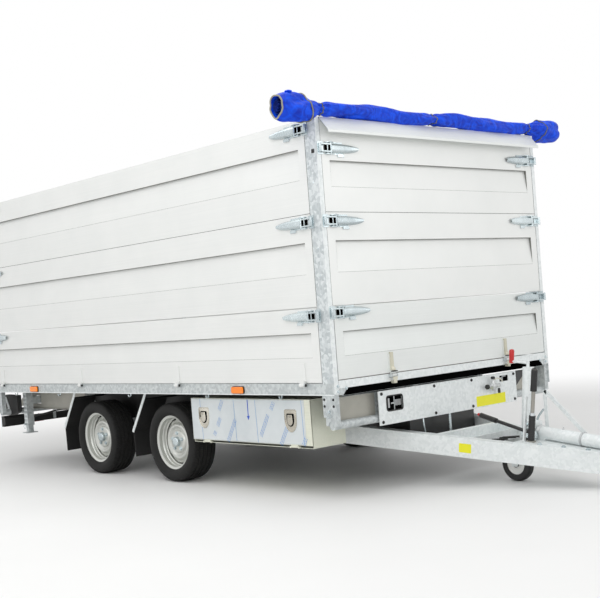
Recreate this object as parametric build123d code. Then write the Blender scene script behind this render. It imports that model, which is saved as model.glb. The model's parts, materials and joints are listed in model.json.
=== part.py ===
"""Tandem-axle dump trailer with a tipping high-sided bed, for a passenger-car towbar.

Frame: +X points to the coupling, +Y to the left-hand side, +Z up; the ground is Z = 0 and the
origin lies in the middle of the trailer's overall length and width. Sizes are in millimetres.
"""

import math
import os

from build123d import *

os.makedirs("parts", exist_ok=True)

# Overall sizes
BED_LENGTH = 4100
BED_WIDTH = 1980
REACH = 1460  # front wall to the tip of the coupling
REAR_OVERHANG = 40  # rear wall to the rear lamps' lenses
OVERALL_LENGTH = BED_LENGTH + REACH + REAR_OVERHANG
FRONT = OVERALL_LENGTH / 2 - REACH  # outer face of the front wall
REAR = FRONT - BED_LENGTH  # outer face of the rear wall
HALF = BED_WIDTH / 2
REARMOST = -OVERALL_LENGTH / 2

# Clearances
MOVE_GAP = 5  # between a moving piece and its neighbour
PIN_FIT = 0.05  # radial, at a pin in its bore
TUBE_GAP = 0.5  # radial, between sliding tubes

# Bed frame
RAIL_BOTTOM = 594
FLOOR_TOP = 660
RAIL_DEPTH = 60
RAIL_WALL = 5
FLOOR_THICK = 18
BEARER_COUNT = 9
BEARER_WIDTH = 40
BEARER_DROP = 40
SPAR_Y = 300
SPAR_WIDTH = 50
SPAR_DROP = 42
FRONT_LIP = 13  # the front beam stands this much above the floor
FRONT_BEAM_DEPTH = 50

# Posts and boards
POST_LONG = 88
POST_SHORT = 34
POST_WALL = 4
BOARD_THICK = 30
BOARD_STEP = 17  # depth of the shadow groove below a board's top rail
END_STRIP = 60
LOWER_TOP = 1083
MIDDLE_TOP = 1596
UPPER_TOP = 2111

# Board hinges, on pins along the outer lower edge of each dropping board
HINGE_OUT = 14
HINGE_DROP = 8
PIN_R = 5
BARREL_R = 11
BARREL_LEN = 34
LUG_THICK = 8
STRAP_WIDTH = 40
STRAP_THICK = 5
STRAP_HEIGHT = 110
NECK_GAP = 3  # a hinge's neck stands this far off the rail
SIDE_HINGE_INSET = 240
FRONT_HINGE_Y = 530

# Running gear
TYRE_R = 262.5
TYRE_WIDTH = 195
WHEEL_INSET = 66  # bed side to the tyre's outer face
AXLE_BEHIND = 106  # the middle between the axles lies this far behind the bed's middle
AXLE_MID = (FRONT + REAR) / 2 - AXLE_BEHIND
AXLE_SPACING = 936
RIM_FLANGE_R = 182
RIM_WIDTH = 155
STUB_R = 22.5
AXLE_TUBE = 80
ARM_REACH = 150
AXLE_TUBE_Z = 340

# Chassis
BEAM_Y = 480
BEAM_WIDTH = 60
BEAM_BOTTOM = 430
BEAM_TOP = 550
TIP_TUBE_R = 24
TIP_TUBE_Z = 425
TIP_INSET_FRONT = 50
TIP_INSET_REAR = 120
TIP_X = REAR + TIP_INSET_REAR
FRONT_TUBE_X = FRONT - TIP_INSET_FRONT
TIP_ANGLE = 40

# Drawbar: two box beams in a V that falls towards the coupling
DRAW_UNDER = 500  # the drawbar's reach under the bed
DRAW_ROOT_X = FRONT - DRAW_UNDER
DRAW_ROOT_Z = 362
DRAW_FALL = math.degrees(math.atan(0.11))
DRAW_HEIGHT = 110
DRAW_WIDTH = 60
DRAW_ROOT_Y = 500
COUPLING_REACH = 360  # the V's tip to the coupling's tip
DRAW_TIP_X = OVERALL_LENGTH / 2 - COUPLING_REACH
DRAW_TIP_Y = 53
DRAW_WALL = 5

# Toolbox, between the front corner and the front wheel
BOX_FRONT = FRONT - 260
BOX_WHEEL_GAP = 35.5
BOX_REAR = AXLE_MID + AXLE_SPACING / 2 + TYRE_R + BOX_WHEEL_GAP
BOX_OUT = 50  # its face lies this far inside the bed's side
BOX_DEPTH = 260
BOX_BOTTOM = 285
BOX_TOP = 565
SHEET = 3


def block(x0, x1, y0, y1, z0, z1):
    """Box between two corners."""
    return Pos((x0 + x1) / 2, (y0 + y1) / 2, (z0 + z1) / 2) * Box(abs(x1 - x0), abs(y1 - y0), abs(z1 - z0))


def along_x(points, x0, x1):
    """Prism with the (y, z) outline, from x0 to x1."""
    return extrude(Plane.YZ.offset(x0) * Polygon(*points, align=None), x1 - x0, dir=(1, 0, 0))


def along_y(points, y0, y1):
    """Prism with the (x, z) outline, from y0 to y1."""
    plane = Plane(origin=(0, y1, 0), x_dir=(1, 0, 0), z_dir=(0, -1, 0))
    return extrude(plane * Polygon(*points, align=None), y1 - y0, dir=(0, -1, 0))


def along_z(points, z0, z1):
    """Prism with the (x, y) outline, from z0 to z1."""
    return extrude(Plane.XY.offset(z0) * Polygon(*points, align=None), z1 - z0, dir=(0, 0, 1))


def rod_y(x, z, radius, y0, y1):
    """Round bar along Y."""
    return Pos(x, (y0 + y1) / 2, z) * (Rot(90, 0, 0) * Cylinder(radius, y1 - y0))


def rod_x(y, z, radius, x0, x1):
    """Round bar along X."""
    return Pos((x0 + x1) / 2, y, z) * (Rot(0, 90, 0) * Cylinder(radius, x1 - x0))


def rod_between(start, end, radius):
    """Round bar between two points."""
    a = Vector(*start)
    b = Vector(*end)
    return Plane(origin=(a + b) / 2, z_dir=(b - a).normalized()) * Cylinder(radius, (b - a).length)


def mirrored(shape):
    """The piece on the other side of the trailer."""
    return mirror(shape, Plane.XZ)


def channel(y_out, inward, z0, z1, depth, wall):
    """(y, z) outline of a channel whose web stands at y_out and whose flanges point inward."""
    y_in = y_out + inward * depth
    y_web = y_out + inward * wall
    return [(y_out, z0), (y_in, z0), (y_in, z0 + wall), (y_web, z0 + wall),
            (y_web, z1 - wall), (y_in, z1 - wall), (y_in, z1), (y_out, z1)]


def board_outline(height, groove, joint):
    """(depth, z) outline of a wall board: top rail, groove, plank slanting out, plain lower plank."""
    return [(0, 0), (0, height - joint), (BOARD_STEP, height - groove - 1), (BOARD_STEP, height - groove),
            (0, height - groove), (0, height), (BOARD_THICK, height), (BOARD_THICK, 0)]


def side_board(x0, x1, z0, z1, groove, joint):
    """Board of the right-hand wall, with a plain strip closing each end."""
    outline = [(-HALF + d, z0 + z) for d, z in board_outline(z1 - z0, groove, joint)]
    board = along_x(outline, x0 + END_STRIP, x1 - END_STRIP)
    for a, b in ((x0, x0 + END_STRIP), (x1 - END_STRIP, x1)):
        board += block(a, b, -HALF, -HALF + BOARD_THICK, z0, z1)
    return board


def end_board(face, inward, half, z0, z1, groove, joint):
    """Board of the front or rear wall; its outer face stands at X = face."""
    outline = [(face + inward * d, z0 + z) for d, z in board_outline(z1 - z0, groove, joint)]
    board = along_y(outline, -half + END_STRIP, half - END_STRIP)
    for sign in (-1, 1):
        board += block(face, face + inward * BOARD_THICK, sign * half, sign * (half - END_STRIP), z0, z1)
    return board


def hinge_lug(axis_out, axis_z, wall_z):
    """(out, z) outline of a lug: a round nose about the pin and a foot on the rail."""
    nose = [(axis_out + BARREL_R * math.sin(math.radians(a)), axis_z + BARREL_R * math.cos(math.radians(a)))
            for a in range(0, 181, 30)]
    return nose + [(0, wall_z - 14), (0, wall_z + 8)]


parts = {}

# Bed frame: side rails whose ends are closed, end beams between them, cross bearers and two spars
bearer_bottom = FLOOR_TOP - FLOOR_THICK - BEARER_DROP
spar_bottom = bearer_bottom - SPAR_DROP
beam_half = HALF - RAIL_DEPTH
lip_half = HALF - POST_SHORT - 2
front_beam_bottom = RAIL_BOTTOM - 5
right_rail = along_x(channel(-HALF, 1, RAIL_BOTTOM, FLOOR_TOP, RAIL_DEPTH, RAIL_WALL), REAR, FRONT)
for a, b in ((REAR, REAR + RAIL_WALL), (FRONT - RAIL_WALL, FRONT)):
    right_rail += block(a, b, -HALF, -beam_half, RAIL_BOTTOM, FLOOR_TOP)
parts["bed_rails"] = right_rail + mirrored(right_rail)
front_beam = [(-x, z) for x, z in channel(-FRONT, 1, front_beam_bottom, FLOOR_TOP, FRONT_BEAM_DEPTH, RAIL_WALL)]
rear_beam = channel(REAR, 1, RAIL_BOTTOM, FLOOR_TOP, RAIL_DEPTH, RAIL_WALL)
parts["bed_end_beams"] = along_y(front_beam, -beam_half, beam_half)
parts["bed_end_beams"] += block(FRONT - RAIL_WALL, FRONT, -lip_half, lip_half, FLOOR_TOP, FLOOR_TOP + FRONT_LIP)
parts["bed_end_beams"] += along_y(rear_beam, -beam_half, beam_half)
bearer_pitch = (BED_LENGTH - FRONT_BEAM_DEPTH - RAIL_DEPTH) / (BEARER_COUNT + 1)
bearers = None
for i in range(1, BEARER_COUNT + 1):
    x = REAR + RAIL_DEPTH + i * bearer_pitch
    bearer = block(x - BEARER_WIDTH / 2, x + BEARER_WIDTH / 2, -HALF + RAIL_WALL, HALF - RAIL_WALL,
                   bearer_bottom, FLOOR_TOP - FLOOR_THICK)
    bearers = bearer if bearers is None else bearers + bearer
parts["bed_bearers"] = bearers
SPAR_PAD = 20  # reach of a spar's end under the end beams
spars = None
for sign in (-1, 1):
    outline = channel(sign * (SPAR_Y + SPAR_WIDTH / 2), -sign, spar_bottom, bearer_bottom, SPAR_WIDTH, RAIL_WALL)
    spar = along_x(outline, REAR + RAIL_DEPTH, FRONT - FRONT_BEAM_DEPTH)
    y0, y1 = sorted((sign * (SPAR_Y - SPAR_WIDTH / 2), sign * (SPAR_Y + SPAR_WIDTH / 2)))
    spar += block(REAR + RAIL_DEPTH - SPAR_PAD, REAR + RAIL_DEPTH + 6, y0, y1, spar_bottom, RAIL_BOTTOM)
    spar += block(FRONT - FRONT_BEAM_DEPTH - 6, FRONT - FRONT_BEAM_DEPTH + SPAR_PAD, y0, y1, spar_bottom,
                  front_beam_bottom)
    spars = spar if spars is None else spars + spar
parts["bed_spars"] = spars

# Saddles that stand on the tipping tubes
saddle_in = TIP_TUBE_R + PIN_FIT
saddle_out = TIP_TUBE_R + 17
SADDLE_PLATE = 6
saddles = None
for x in (FRONT_TUBE_X, TIP_X):
    saddle = block(x - saddle_out, x + saddle_out, -HALF + SADDLE_PLATE, -HALF + 40, TIP_TUBE_Z, RAIL_BOTTOM)
    saddle += block(x - TIP_INSET_FRONT, x + TIP_INSET_FRONT, -HALF, -HALF + SADDLE_PLATE, TIP_TUBE_Z + 48, RAIL_BOTTOM)
    saddle -= rod_y(x, TIP_TUBE_Z, saddle_in, -HALF - 5, -HALF + 60)
    saddle += mirrored(saddle)
    saddles = saddle if saddles is None else saddles + saddle
parts["bed_saddles"] = saddles

# Socket under the bed in which the head of the tipping cylinder stands
CYL_X = AXLE_MID
HEAD_R = 24
HEAD_Z = 571
SOCKET_ROOM = 24
SOCKET_PLATE = 6
spar_inner = SPAR_Y - SPAR_WIDTH / 2
socket = block(CYL_X - 70, CYL_X + 70, -spar_inner, spar_inner, bearer_bottom - SOCKET_PLATE, bearer_bottom)
for sign in (-1, 1):
    cheek = sign * (HEAD_R + SOCKET_ROOM)
    socket += block(CYL_X - 55, CYL_X + 55, cheek, cheek + sign * 8, spar_bottom - SOCKET_PLATE, bearer_bottom)
parts["ram_socket"] = socket

# Hinge lugs and pins of the dropping boards, and the pins on which the tail flap hangs
side_hinge_x = [FRONT - SIDE_HINGE_INSET - i * (BED_LENGTH - 2 * SIDE_HINGE_INSET) / 3 for i in range(4)]
side_axis_z = FLOOR_TOP - HINGE_DROP
front_axis_z = FLOOR_TOP + FRONT_LIP - HINGE_DROP
lug_offset = BARREL_LEN / 2 + 1
end_half = HALF - POST_SHORT
FLAP_PIN_DROP = 30
FLAP_PIN_LENGTH = 39
FLAP_PIN_R = 6
flap_axis_z = LOWER_TOP - MOVE_GAP - FLAP_PIN_DROP
flap_axis_x = REAR + BOARD_THICK / 2
hinges = rod_y(flap_axis_x, flap_axis_z, FLAP_PIN_R, end_half - FLAP_PIN_LENGTH, end_half)
hinges += rod_y(flap_axis_x, flap_axis_z, FLAP_PIN_R, -end_half, -end_half + FLAP_PIN_LENGTH)
for x in side_hinge_x:
    outline = [(-HALF - out, z) for out, z in hinge_lug(HINGE_OUT, side_axis_z, side_axis_z)]
    hinge = rod_x(-HALF - HINGE_OUT, side_axis_z, PIN_R, x - lug_offset - LUG_THICK, x + lug_offset + LUG_THICK)
    for a in (x - lug_offset - LUG_THICK, x + lug_offset):
        hinge += along_x(outline, a, a + LUG_THICK)
    hinges += hinge + mirrored(hinge)
for y in (-FRONT_HINGE_Y, FRONT_HINGE_Y):
    outline = [(FRONT + out, z) for out, z in hinge_lug(HINGE_OUT, front_axis_z, front_axis_z)]
    hinge = rod_y(FRONT + HINGE_OUT, front_axis_z, PIN_R, y - lug_offset - LUG_THICK, y + lug_offset + LUG_THICK)
    for a in (y - lug_offset - LUG_THICK, y + lug_offset):
        hinge += along_y(outline, a, a + LUG_THICK)
    hinges += hinge
parts["board_hinges"] = hinges

floor_half = HALF - RAIL_DEPTH
parts["bed_floor"] = block(REAR + RAIL_DEPTH, FRONT - FRONT_BEAM_DEPTH, -floor_half, floor_half,
                           FLOOR_TOP - FLOOR_THICK, FLOOR_TOP)

# Corner posts: rectangular tubes with a closed top
posts = None
for face, inward in ((FRONT, -1), (REAR, 1)):
    post = block(face, face + inward * POST_LONG, -HALF, -HALF + POST_SHORT, FLOOR_TOP, UPPER_TOP + POST_WALL)
    post -= block(face + inward * POST_WALL, face + inward * (POST_LONG - POST_WALL), -HALF + POST_WALL,
                  -HALF + POST_SHORT - POST_WALL, FLOOR_TOP, UPPER_TOP)
    post += mirrored(post)
    posts = post if posts is None else posts + post
parts["corner_posts"] = posts

# Wall boards: (name, bottom, top, groove drop, joint drop)
BOARDS = [
    ("lower", FLOOR_TOP + MOVE_GAP, LOWER_TOP - MOVE_GAP, 138, 274),
    ("middle", LOWER_TOP, MIDDLE_TOP, 156, 331),
    ("upper", MIDDLE_TOP, UPPER_TOP, 155, 325),
]
side_x0 = REAR + POST_LONG
side_x1 = FRONT - POST_LONG
for name, z0, z1, groove, joint in BOARDS:
    gap = MOVE_GAP if name == "lower" else 0
    board = side_board(side_x0 + gap, side_x1 - gap, z0, z1, groove, joint)
    if name == "lower":
        for x in side_hinge_x:
            strap = block(x - STRAP_WIDTH / 2, x + STRAP_WIDTH / 2, -HALF - STRAP_THICK, -HALF, z0 + 4, z0 + STRAP_HEIGHT)
            neck = block(x - BARREL_LEN / 2, x + BARREL_LEN / 2, -HALF - HINGE_OUT - STRAP_THICK, -HALF - NECK_GAP,
                         side_axis_z + BARREL_R - 3, z0 + 14)
            barrel = rod_x(-HALF - HINGE_OUT, side_axis_z, BARREL_R, x - BARREL_LEN / 2, x + BARREL_LEN / 2)
            bore = rod_x(-HALF - HINGE_OUT, side_axis_z, PIN_R + PIN_FIT, x - BARREL_LEN, x + BARREL_LEN)
            board += strap + (neck + barrel - bore)
    if name == "lower":
        parts["side_board_lower_right"] = board
        parts["side_board_lower_left"] = mirrored(board)
    else:
        parts[f"boards_{name}"] = board + mirrored(board)

for name, z0, z1, groove, joint in BOARDS:
    gap = MOVE_GAP if name == "lower" else 0
    if name == "lower":
        z0 = z0 + FRONT_LIP
    if name == "upper":
        groove, joint = 231, 376
    board = end_board(FRONT, -1, end_half - gap, z0, z1, groove, joint)
    if name == "lower":
        for y in (-FRONT_HINGE_Y, FRONT_HINGE_Y):
            strap = block(FRONT, FRONT + STRAP_THICK, y - STRAP_WIDTH / 2, y + STRAP_WIDTH / 2, z0 + 4, z0 + STRAP_HEIGHT)
            neck = block(FRONT + NECK_GAP, FRONT + HINGE_OUT + STRAP_THICK, y - BARREL_LEN / 2, y + BARREL_LEN / 2,
                         front_axis_z + BARREL_R - 3, z0 + 14)
            barrel = rod_y(FRONT + HINGE_OUT, front_axis_z, BARREL_R, y - BARREL_LEN / 2, y + BARREL_LEN / 2)
            bore = rod_y(FRONT + HINGE_OUT, front_axis_z, PIN_R + PIN_FIT, y - BARREL_LEN, y + BARREL_LEN)
            board += strap + (neck + barrel - bore)
    if name == "lower":
        parts["front_board_lower"] = board
    else:
        parts[f"boards_{name}"] += board

# Rear wall: two fixed boards above a flap that hangs from its pins beside the posts
for name, z0, z1, groove, joint in BOARDS:
    gap = MOVE_GAP if name == "lower" else 0
    board = end_board(REAR, 1, end_half - gap, z0, z1, groove, joint)
    if name == "lower":
        for sign in (-1, 1):
            y0, y1 = sorted((sign * (end_half - FLAP_PIN_LENGTH - 1), sign * (end_half + 1)))
            board -= rod_y(flap_axis_x, flap_axis_z, FLAP_PIN_R + PIN_FIT, y0, y1)
        parts["tail_flap"] = board
    else:
        parts[f"boards_{name}"] += board

# Folded cap on the front wall, on which the rolled sheet lies
CAP_REACH = 70
CAP_SHEET = 3
cap_half = end_half + 10
cap_top = UPPER_TOP + POST_WALL
cap_outline = [
    (FRONT - BOARD_THICK - CAP_SHEET, UPPER_TOP - 40), (FRONT - BOARD_THICK, UPPER_TOP - 40),
    (FRONT - BOARD_THICK, UPPER_TOP), (FRONT, UPPER_TOP), (FRONT, UPPER_TOP),
    (FRONT + CAP_REACH - CAP_SHEET, UPPER_TOP - 77), (FRONT + CAP_REACH - CAP_SHEET, UPPER_TOP - 90),
    (FRONT + CAP_REACH, UPPER_TOP - 90), (FRONT + CAP_REACH, UPPER_TOP - 76),
    (FRONT + 5, cap_top), (FRONT - BOARD_THICK - CAP_SHEET, cap_top),
]
parts["front_cap"] = along_y(cap_outline, -end_half, end_half)

# Rolled sheet: a slim twisted roll whose ends bulge past the posts
ROLL_OVERHANG = 280
ROLL_HALF = HALF + ROLL_OVERHANG
ROLL_R = 34
ROLL_X = FRONT - 5
ROLL_Z = cap_top + ROLL_R + 0.5
ROLL_END_R = 80
roll_end = [(ROLL_R, HALF + MOVE_GAP), (ROLL_END_R - 22, HALF + 0.23 * ROLL_OVERHANG),
            (ROLL_END_R, HALF + 0.5 * ROLL_OVERHANG), (ROLL_END_R - 6, HALF + 0.82 * ROLL_OVERHANG),
            (ROLL_R + 6, ROLL_HALF), (0, ROLL_HALF)]
roll_outline = [(r, -y) for r, y in reversed(roll_end)] + roll_end
roll = revolve(Plane.XZ * Polygon(*roll_outline, align=None), Axis.Z)
parts["cover_roll"] = Pos(ROLL_X, 0, ROLL_Z) * (Rot(90, 0, 0) * roll)

# Chassis: two channel beams notched for the tipping tubes, cross members between their webs
BEAM_WALL = 6
beam_out = BEAM_Y + BEAM_WIDTH / 2
beam_in = BEAM_Y - BEAM_WIDTH / 2
BEAM_FRONT = FRONT - 18
BEAM_REAR = TIP_X - 60
beams = None
for sign in (-1, 1):
    beam = along_x(channel(sign * beam_out, -sign, BEAM_BOTTOM, BEAM_TOP, BEAM_WIDTH, BEAM_WALL), BEAM_REAR, BEAM_FRONT)
    beams = beam if beams is None else beams + beam
tubes = None
for x in (FRONT_TUBE_X, TIP_X):
    beams -= rod_y(x, TIP_TUBE_Z, TIP_TUBE_R + PIN_FIT, -beam_out - 5, beam_out + 5)
    tube = rod_y(x, TIP_TUBE_Z, TIP_TUBE_R, -HALF + 15, HALF - 15)
    tubes = tube if tubes is None else tubes + tube
parts["chassis_beams"] = beams
parts["tipping_tubes"] = tubes
RAM_CROSS = 150
CROSS_WIDTH = 40
ram_rear = CYL_X - RAM_CROSS
CROSS_X = [FRONT - 220, FRONT - 400, FRONT - 780, CYL_X + RAM_CROSS, ram_rear]
CROSS_X += [ram_rear + (TIP_X - ram_rear) * i / 3 for i in (1, 2)]
cross = None
for x in CROSS_X:
    member = block(x - CROSS_WIDTH / 2, x + CROSS_WIDTH / 2, -beam_out + BEAM_WALL, beam_out - BEAM_WALL,
                   BEAM_BOTTOM + BEAM_WALL, BEAM_TOP - BEAM_WALL)
    cross = member if cross is None else cross + member
parts["chassis_cross_members"] = cross

# Brackets on the beams: sleeves of the prop legs, shields, axle mounts, hangers of the drawbar,
# arms of the toolbox and of the light bar, and the cheeks that hold the cylinder's trunnions
LEG_X = TIP_X + 170
LEG_Y = 820
LEG_SLEEVE = 56
LEG_TUBE = 42
LEG_WALL = 5
ARM_DROP = 10  # the sleeve's arm lies this far below the beam's top
ARM_HEIGHT = 60
SLEEVE_BOTTOM = 310
SLEEVE_TOP = 575
SHIELD_X = FRONT - 70
SHIELD_SHEET = 4
SHIELD_TOP = SLEEVE_TOP
SHIELD_OUT = HALF - 60
MOUNT_HALF = 60
BOX_BRACKETS = [BOX_REAR + 250, BOX_FRONT - 230]
HANGER_X = [DRAW_ROOT_X + 10, DRAW_ROOT_X + 130]
LIGHT_BAR_BOTTOM = 310
LIGHT_BAR_TOP = 370
LIGHT_BAR_X = REARMOST + 62
axle_x = {"front": AXLE_MID + AXLE_SPACING / 2, "rear": AXLE_MID - AXLE_SPACING / 2}
tyre_in = HALF - WHEEL_INSET - TYRE_WIDTH
toolbox_in = HALF - BOX_OUT - BOX_DEPTH
PIVOT_Z = 468
PIVOT_R = 15
CHEEK_IN = 84
CHEEK_THICK = 12
brackets = None


def add_bracket(solid):
    """Adds one more solid to the brackets' node."""
    global brackets
    brackets = solid if brackets is None else brackets + solid


for sign in (-1, 1):
    y0, y1 = sorted((sign * beam_out, sign * (LEG_Y - LEG_SLEEVE / 2 + 2)))
    sleeve = block(LEG_X - 30, LEG_X + 30, y0, y1, BEAM_TOP - ARM_DROP - ARM_HEIGHT, BEAM_TOP - ARM_DROP)
    sleeve += block(LEG_X - LEG_SLEEVE / 2, LEG_X + LEG_SLEEVE / 2, sign * (LEG_Y - LEG_SLEEVE / 2),
                    sign * (LEG_Y + LEG_SLEEVE / 2), SLEEVE_BOTTOM, SLEEVE_TOP)
    hole = LEG_TUBE / 2 + TUBE_GAP
    sleeve -= block(LEG_X - hole, LEG_X + hole, sign * (LEG_Y - hole), sign * (LEG_Y + hole), SLEEVE_BOTTOM - 10,
                    SLEEVE_TOP + 5)
    add_bracket(sleeve)
    shield = sorted((sign * beam_out, sign * SHIELD_OUT))
    add_bracket(block(SHIELD_X, SHIELD_X + SHIELD_SHEET, shield[0], shield[1], TIP_TUBE_Z + 20, SHIELD_TOP))
    mount = sorted((sign * (beam_out - BEAM_WALL), sign * (beam_in + BEAM_WALL)))
    for x in axle_x.values():
        x = x + ARM_REACH
        add_bracket(block(x - MOUNT_HALF, x + MOUNT_HALF, mount[0], mount[1], AXLE_TUBE_Z + AXLE_TUBE / 2, BEAM_BOTTOM))
    hanger = [(x, DRAW_ROOT_Z - (x - DRAW_ROOT_X) * math.tan(math.radians(DRAW_FALL))) for x in HANGER_X]
    hanger += [(HANGER_X[1], BEAM_BOTTOM), (HANGER_X[0], BEAM_BOTTOM)]
    y0, y1 = sorted((sign * (beam_in - 8), sign * (beam_in + 20)))
    add_bracket(along_y(hanger, y0, y1))
    cheek = sorted((sign * CHEEK_IN, sign * (CHEEK_IN + CHEEK_THICK)))
    half = RAM_CROSS - CROSS_WIDTH / 2
    trunnion_plate = block(CYL_X - half, CYL_X + half, cheek[0], cheek[1], BEAM_BOTTOM + BEAM_WALL, 500)
    add_bracket(trunnion_plate - rod_y(CYL_X, PIVOT_Z, PIVOT_R + PIN_FIT, cheek[0] - 10, cheek[1] + 10))
    plate = sorted((sign * beam_in, sign * (beam_in + 8)))
    add_bracket(block(LIGHT_BAR_X, BEAM_REAR, plate[0], plate[1], LIGHT_BAR_BOTTOM + 10, BEAM_BOTTOM + 20))
for x in BOX_BRACKETS:
    add_bracket(block(x - 20, x + 20, -toolbox_in, -beam_out, 440, 480))
parts["chassis_brackets"] = brackets

# Front plate with a window and a slot
PLATE_HALF = 640
PLATE_BOTTOM = 385
PLATE_TOP = 580
PLATE_THICK = 6
plate_x = BEAM_FRONT
plate = block(plate_x, plate_x + PLATE_THICK, -PLATE_HALF, PLATE_HALF, PLATE_BOTTOM, PLATE_TOP)
for y0, y1, z0, z1 in ((-575, -445, PLATE_TOP - 118, PLATE_TOP - 35), (470, 560, PLATE_TOP - 55, PLATE_TOP - 18)):
    plate -= block(plate_x - 10, plate_x + 20, y0, y1, z0, z1)
parts["chassis_front_plate"] = plate

# Axles: a cross tube, and at each end a trailing arm with a braked stub
wheel_mid = HALF - WHEEL_INSET - TYRE_WIDTH / 2
ARM_THICK = 30
arm_in = tyre_in - 34
DRUM_R = 115
axles = None
arms = None
for x in axle_x.values():
    tube_x = x + ARM_REACH
    tube = block(tube_x - AXLE_TUBE / 2, tube_x + AXLE_TUBE / 2, -arm_in, arm_in, AXLE_TUBE_Z - AXLE_TUBE / 2,
                 AXLE_TUBE_Z + AXLE_TUBE / 2)
    axles = tube if axles is None else axles + tube
    outline = [(tube_x + 45, AXLE_TUBE_Z - 45), (tube_x + 45, AXLE_TUBE_Z + 45), (tube_x - 45, AXLE_TUBE_Z + 45),
               (x - 38, TYRE_R + 38), (x - 38, TYRE_R - 38), (x + 38, TYRE_R - 38)]
    for sign in (-1, 1):
        y0, y1 = sorted((sign * arm_in, sign * (arm_in + ARM_THICK)))
        arm = along_y(outline, y0, y1)
        y0, y1 = sorted((sign * (arm_in + ARM_THICK - 5), sign * (wheel_mid + 60)))
        arm += rod_y(x, TYRE_R, STUB_R, y0, y1)
        y0, y1 = sorted((sign * (arm_in + ARM_THICK - 1), sign * (wheel_mid - 50)))
        arm += rod_y(x, TYRE_R, DRUM_R, y0, y1)
        arms = arm if arms is None else arms + arm
parts["axle_tubes"] = axles
parts["axle_arms"] = arms

# Wheels
SEAT_R = 168
BOLT_CIRCLE_R = 56
HUB_FACE_R = 72
rim_half = RIM_WIDTH / 2
rim_outline = [
    (SEAT_R - 6, -rim_half + 8), (RIM_FLANGE_R - 6, -rim_half + 5), (RIM_FLANGE_R - 1, -rim_half),
    (RIM_FLANGE_R, -rim_half + 6), (SEAT_R, -rim_half + 12), (SEAT_R, rim_half - 12),
    (RIM_FLANGE_R, rim_half - 6), (RIM_FLANGE_R - 1, rim_half), (RIM_FLANGE_R - 6, rim_half - 5),
    (SEAT_R - 6, rim_half - 8), (SEAT_R - 6, 30),
    (140, 44), (100, 20), (HUB_FACE_R + 2, 34), (34, 34), (34, 52), (STUB_R + PIN_FIT, 52), (STUB_R + PIN_FIT, -28),
    (HUB_FACE_R, -28), (HUB_FACE_R, 26), (100, 12), (138, 36), (SEAT_R - 6, 20),
]
tyre_half = TYRE_WIDTH / 2
tread_half = 78
TREAD_DEPTH = 7
tyre_outline = [(SEAT_R, -rim_half + 12.5), (SEAT_R, rim_half - 12.5), (RIM_FLANGE_R + 0.5, rim_half - 6.5),
                (RIM_FLANGE_R + 1.5, rim_half), (RIM_FLANGE_R + 8, rim_half + 8), (215, tyre_half), (240, tyre_half - 5), (256, tread_half + 6),
                (TYRE_R - 2, tread_half - 6)]
for groove in (48, 16, -16, -48):
    tyre_outline += [(TYRE_R, groove + 4), (TYRE_R - TREAD_DEPTH, groove + 3), (TYRE_R - TREAD_DEPTH, groove - 3),
                     (TYRE_R, groove - 4)]
tyre_outline += [(TYRE_R - 2, -tread_half + 6), (256, -tread_half - 6), (240, -tyre_half + 5), (215, -tyre_half),
                 (RIM_FLANGE_R + 8, -rim_half - 8), (RIM_FLANGE_R + 1.5, -rim_half), (RIM_FLANGE_R + 0.5, -rim_half + 6.5)]


def spun(outline):
    """Wheel piece turned about its axle, outer side towards -Y (right-hand wheel)."""
    return Rot(90, 0, 0) * revolve(Plane.XZ * Polygon(*outline, align=None), Axis.Z)


rim = spun(rim_outline)
for i in range(5):
    a = math.radians(90 + 72 * i)
    rim -= rod_y(BOLT_CIRCLE_R * math.cos(a), BOLT_CIRCLE_R * math.sin(a), 8, -60, 60)
for i in range(10):
    a = math.radians(18 + 36 * i)
    rim -= rod_y(122 * math.cos(a), 122 * math.sin(a), 9, -80, 10)
tyre = spun(tyre_outline)
for name, x in axle_x.items():
    place = Pos(x, -wheel_mid, TYRE_R)
    parts[f"rim_{name}_right"] = place * rim
    parts[f"tyre_{name}_right"] = place * tyre
    parts[f"rim_{name}_left"] = mirrored(place * rim)
    parts[f"tyre_{name}_left"] = mirrored(place * tyre)

# Mudguards: a slanted sheet and a flap behind each wheel, on a stay from the chassis beam
GUARD_SHEET = 4
GUARD_BACK = 425  # axle to the sheet's knee
GUARD_LEAN = 153
GUARD_KNEE = 330
GUARD_FOOT = 150
guards = None
for x in axle_x.values():
    top = (x - GUARD_BACK + GUARD_LEAN, BEAM_TOP - 2)
    knee = (x - GUARD_BACK, GUARD_KNEE)
    foot = (x - GUARD_BACK + 7, GUARD_FOOT)
    outline = [top, knee, foot, (foot[0] - GUARD_SHEET, foot[1]), (knee[0] - GUARD_SHEET, knee[1] - 2),
               (top[0] - GUARD_SHEET, top[1] + 2)]
    guard = along_y(outline, -tyre_in - TYRE_WIDTH, -tyre_in)
    guard += rod_y(top[0] - 2, top[1], 8, -tyre_in - TYRE_WIDTH, -beam_out)
    guard += mirrored(guard)
    guards = guard if guards is None else guards + guard
parts["mudguards"] = guards

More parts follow.
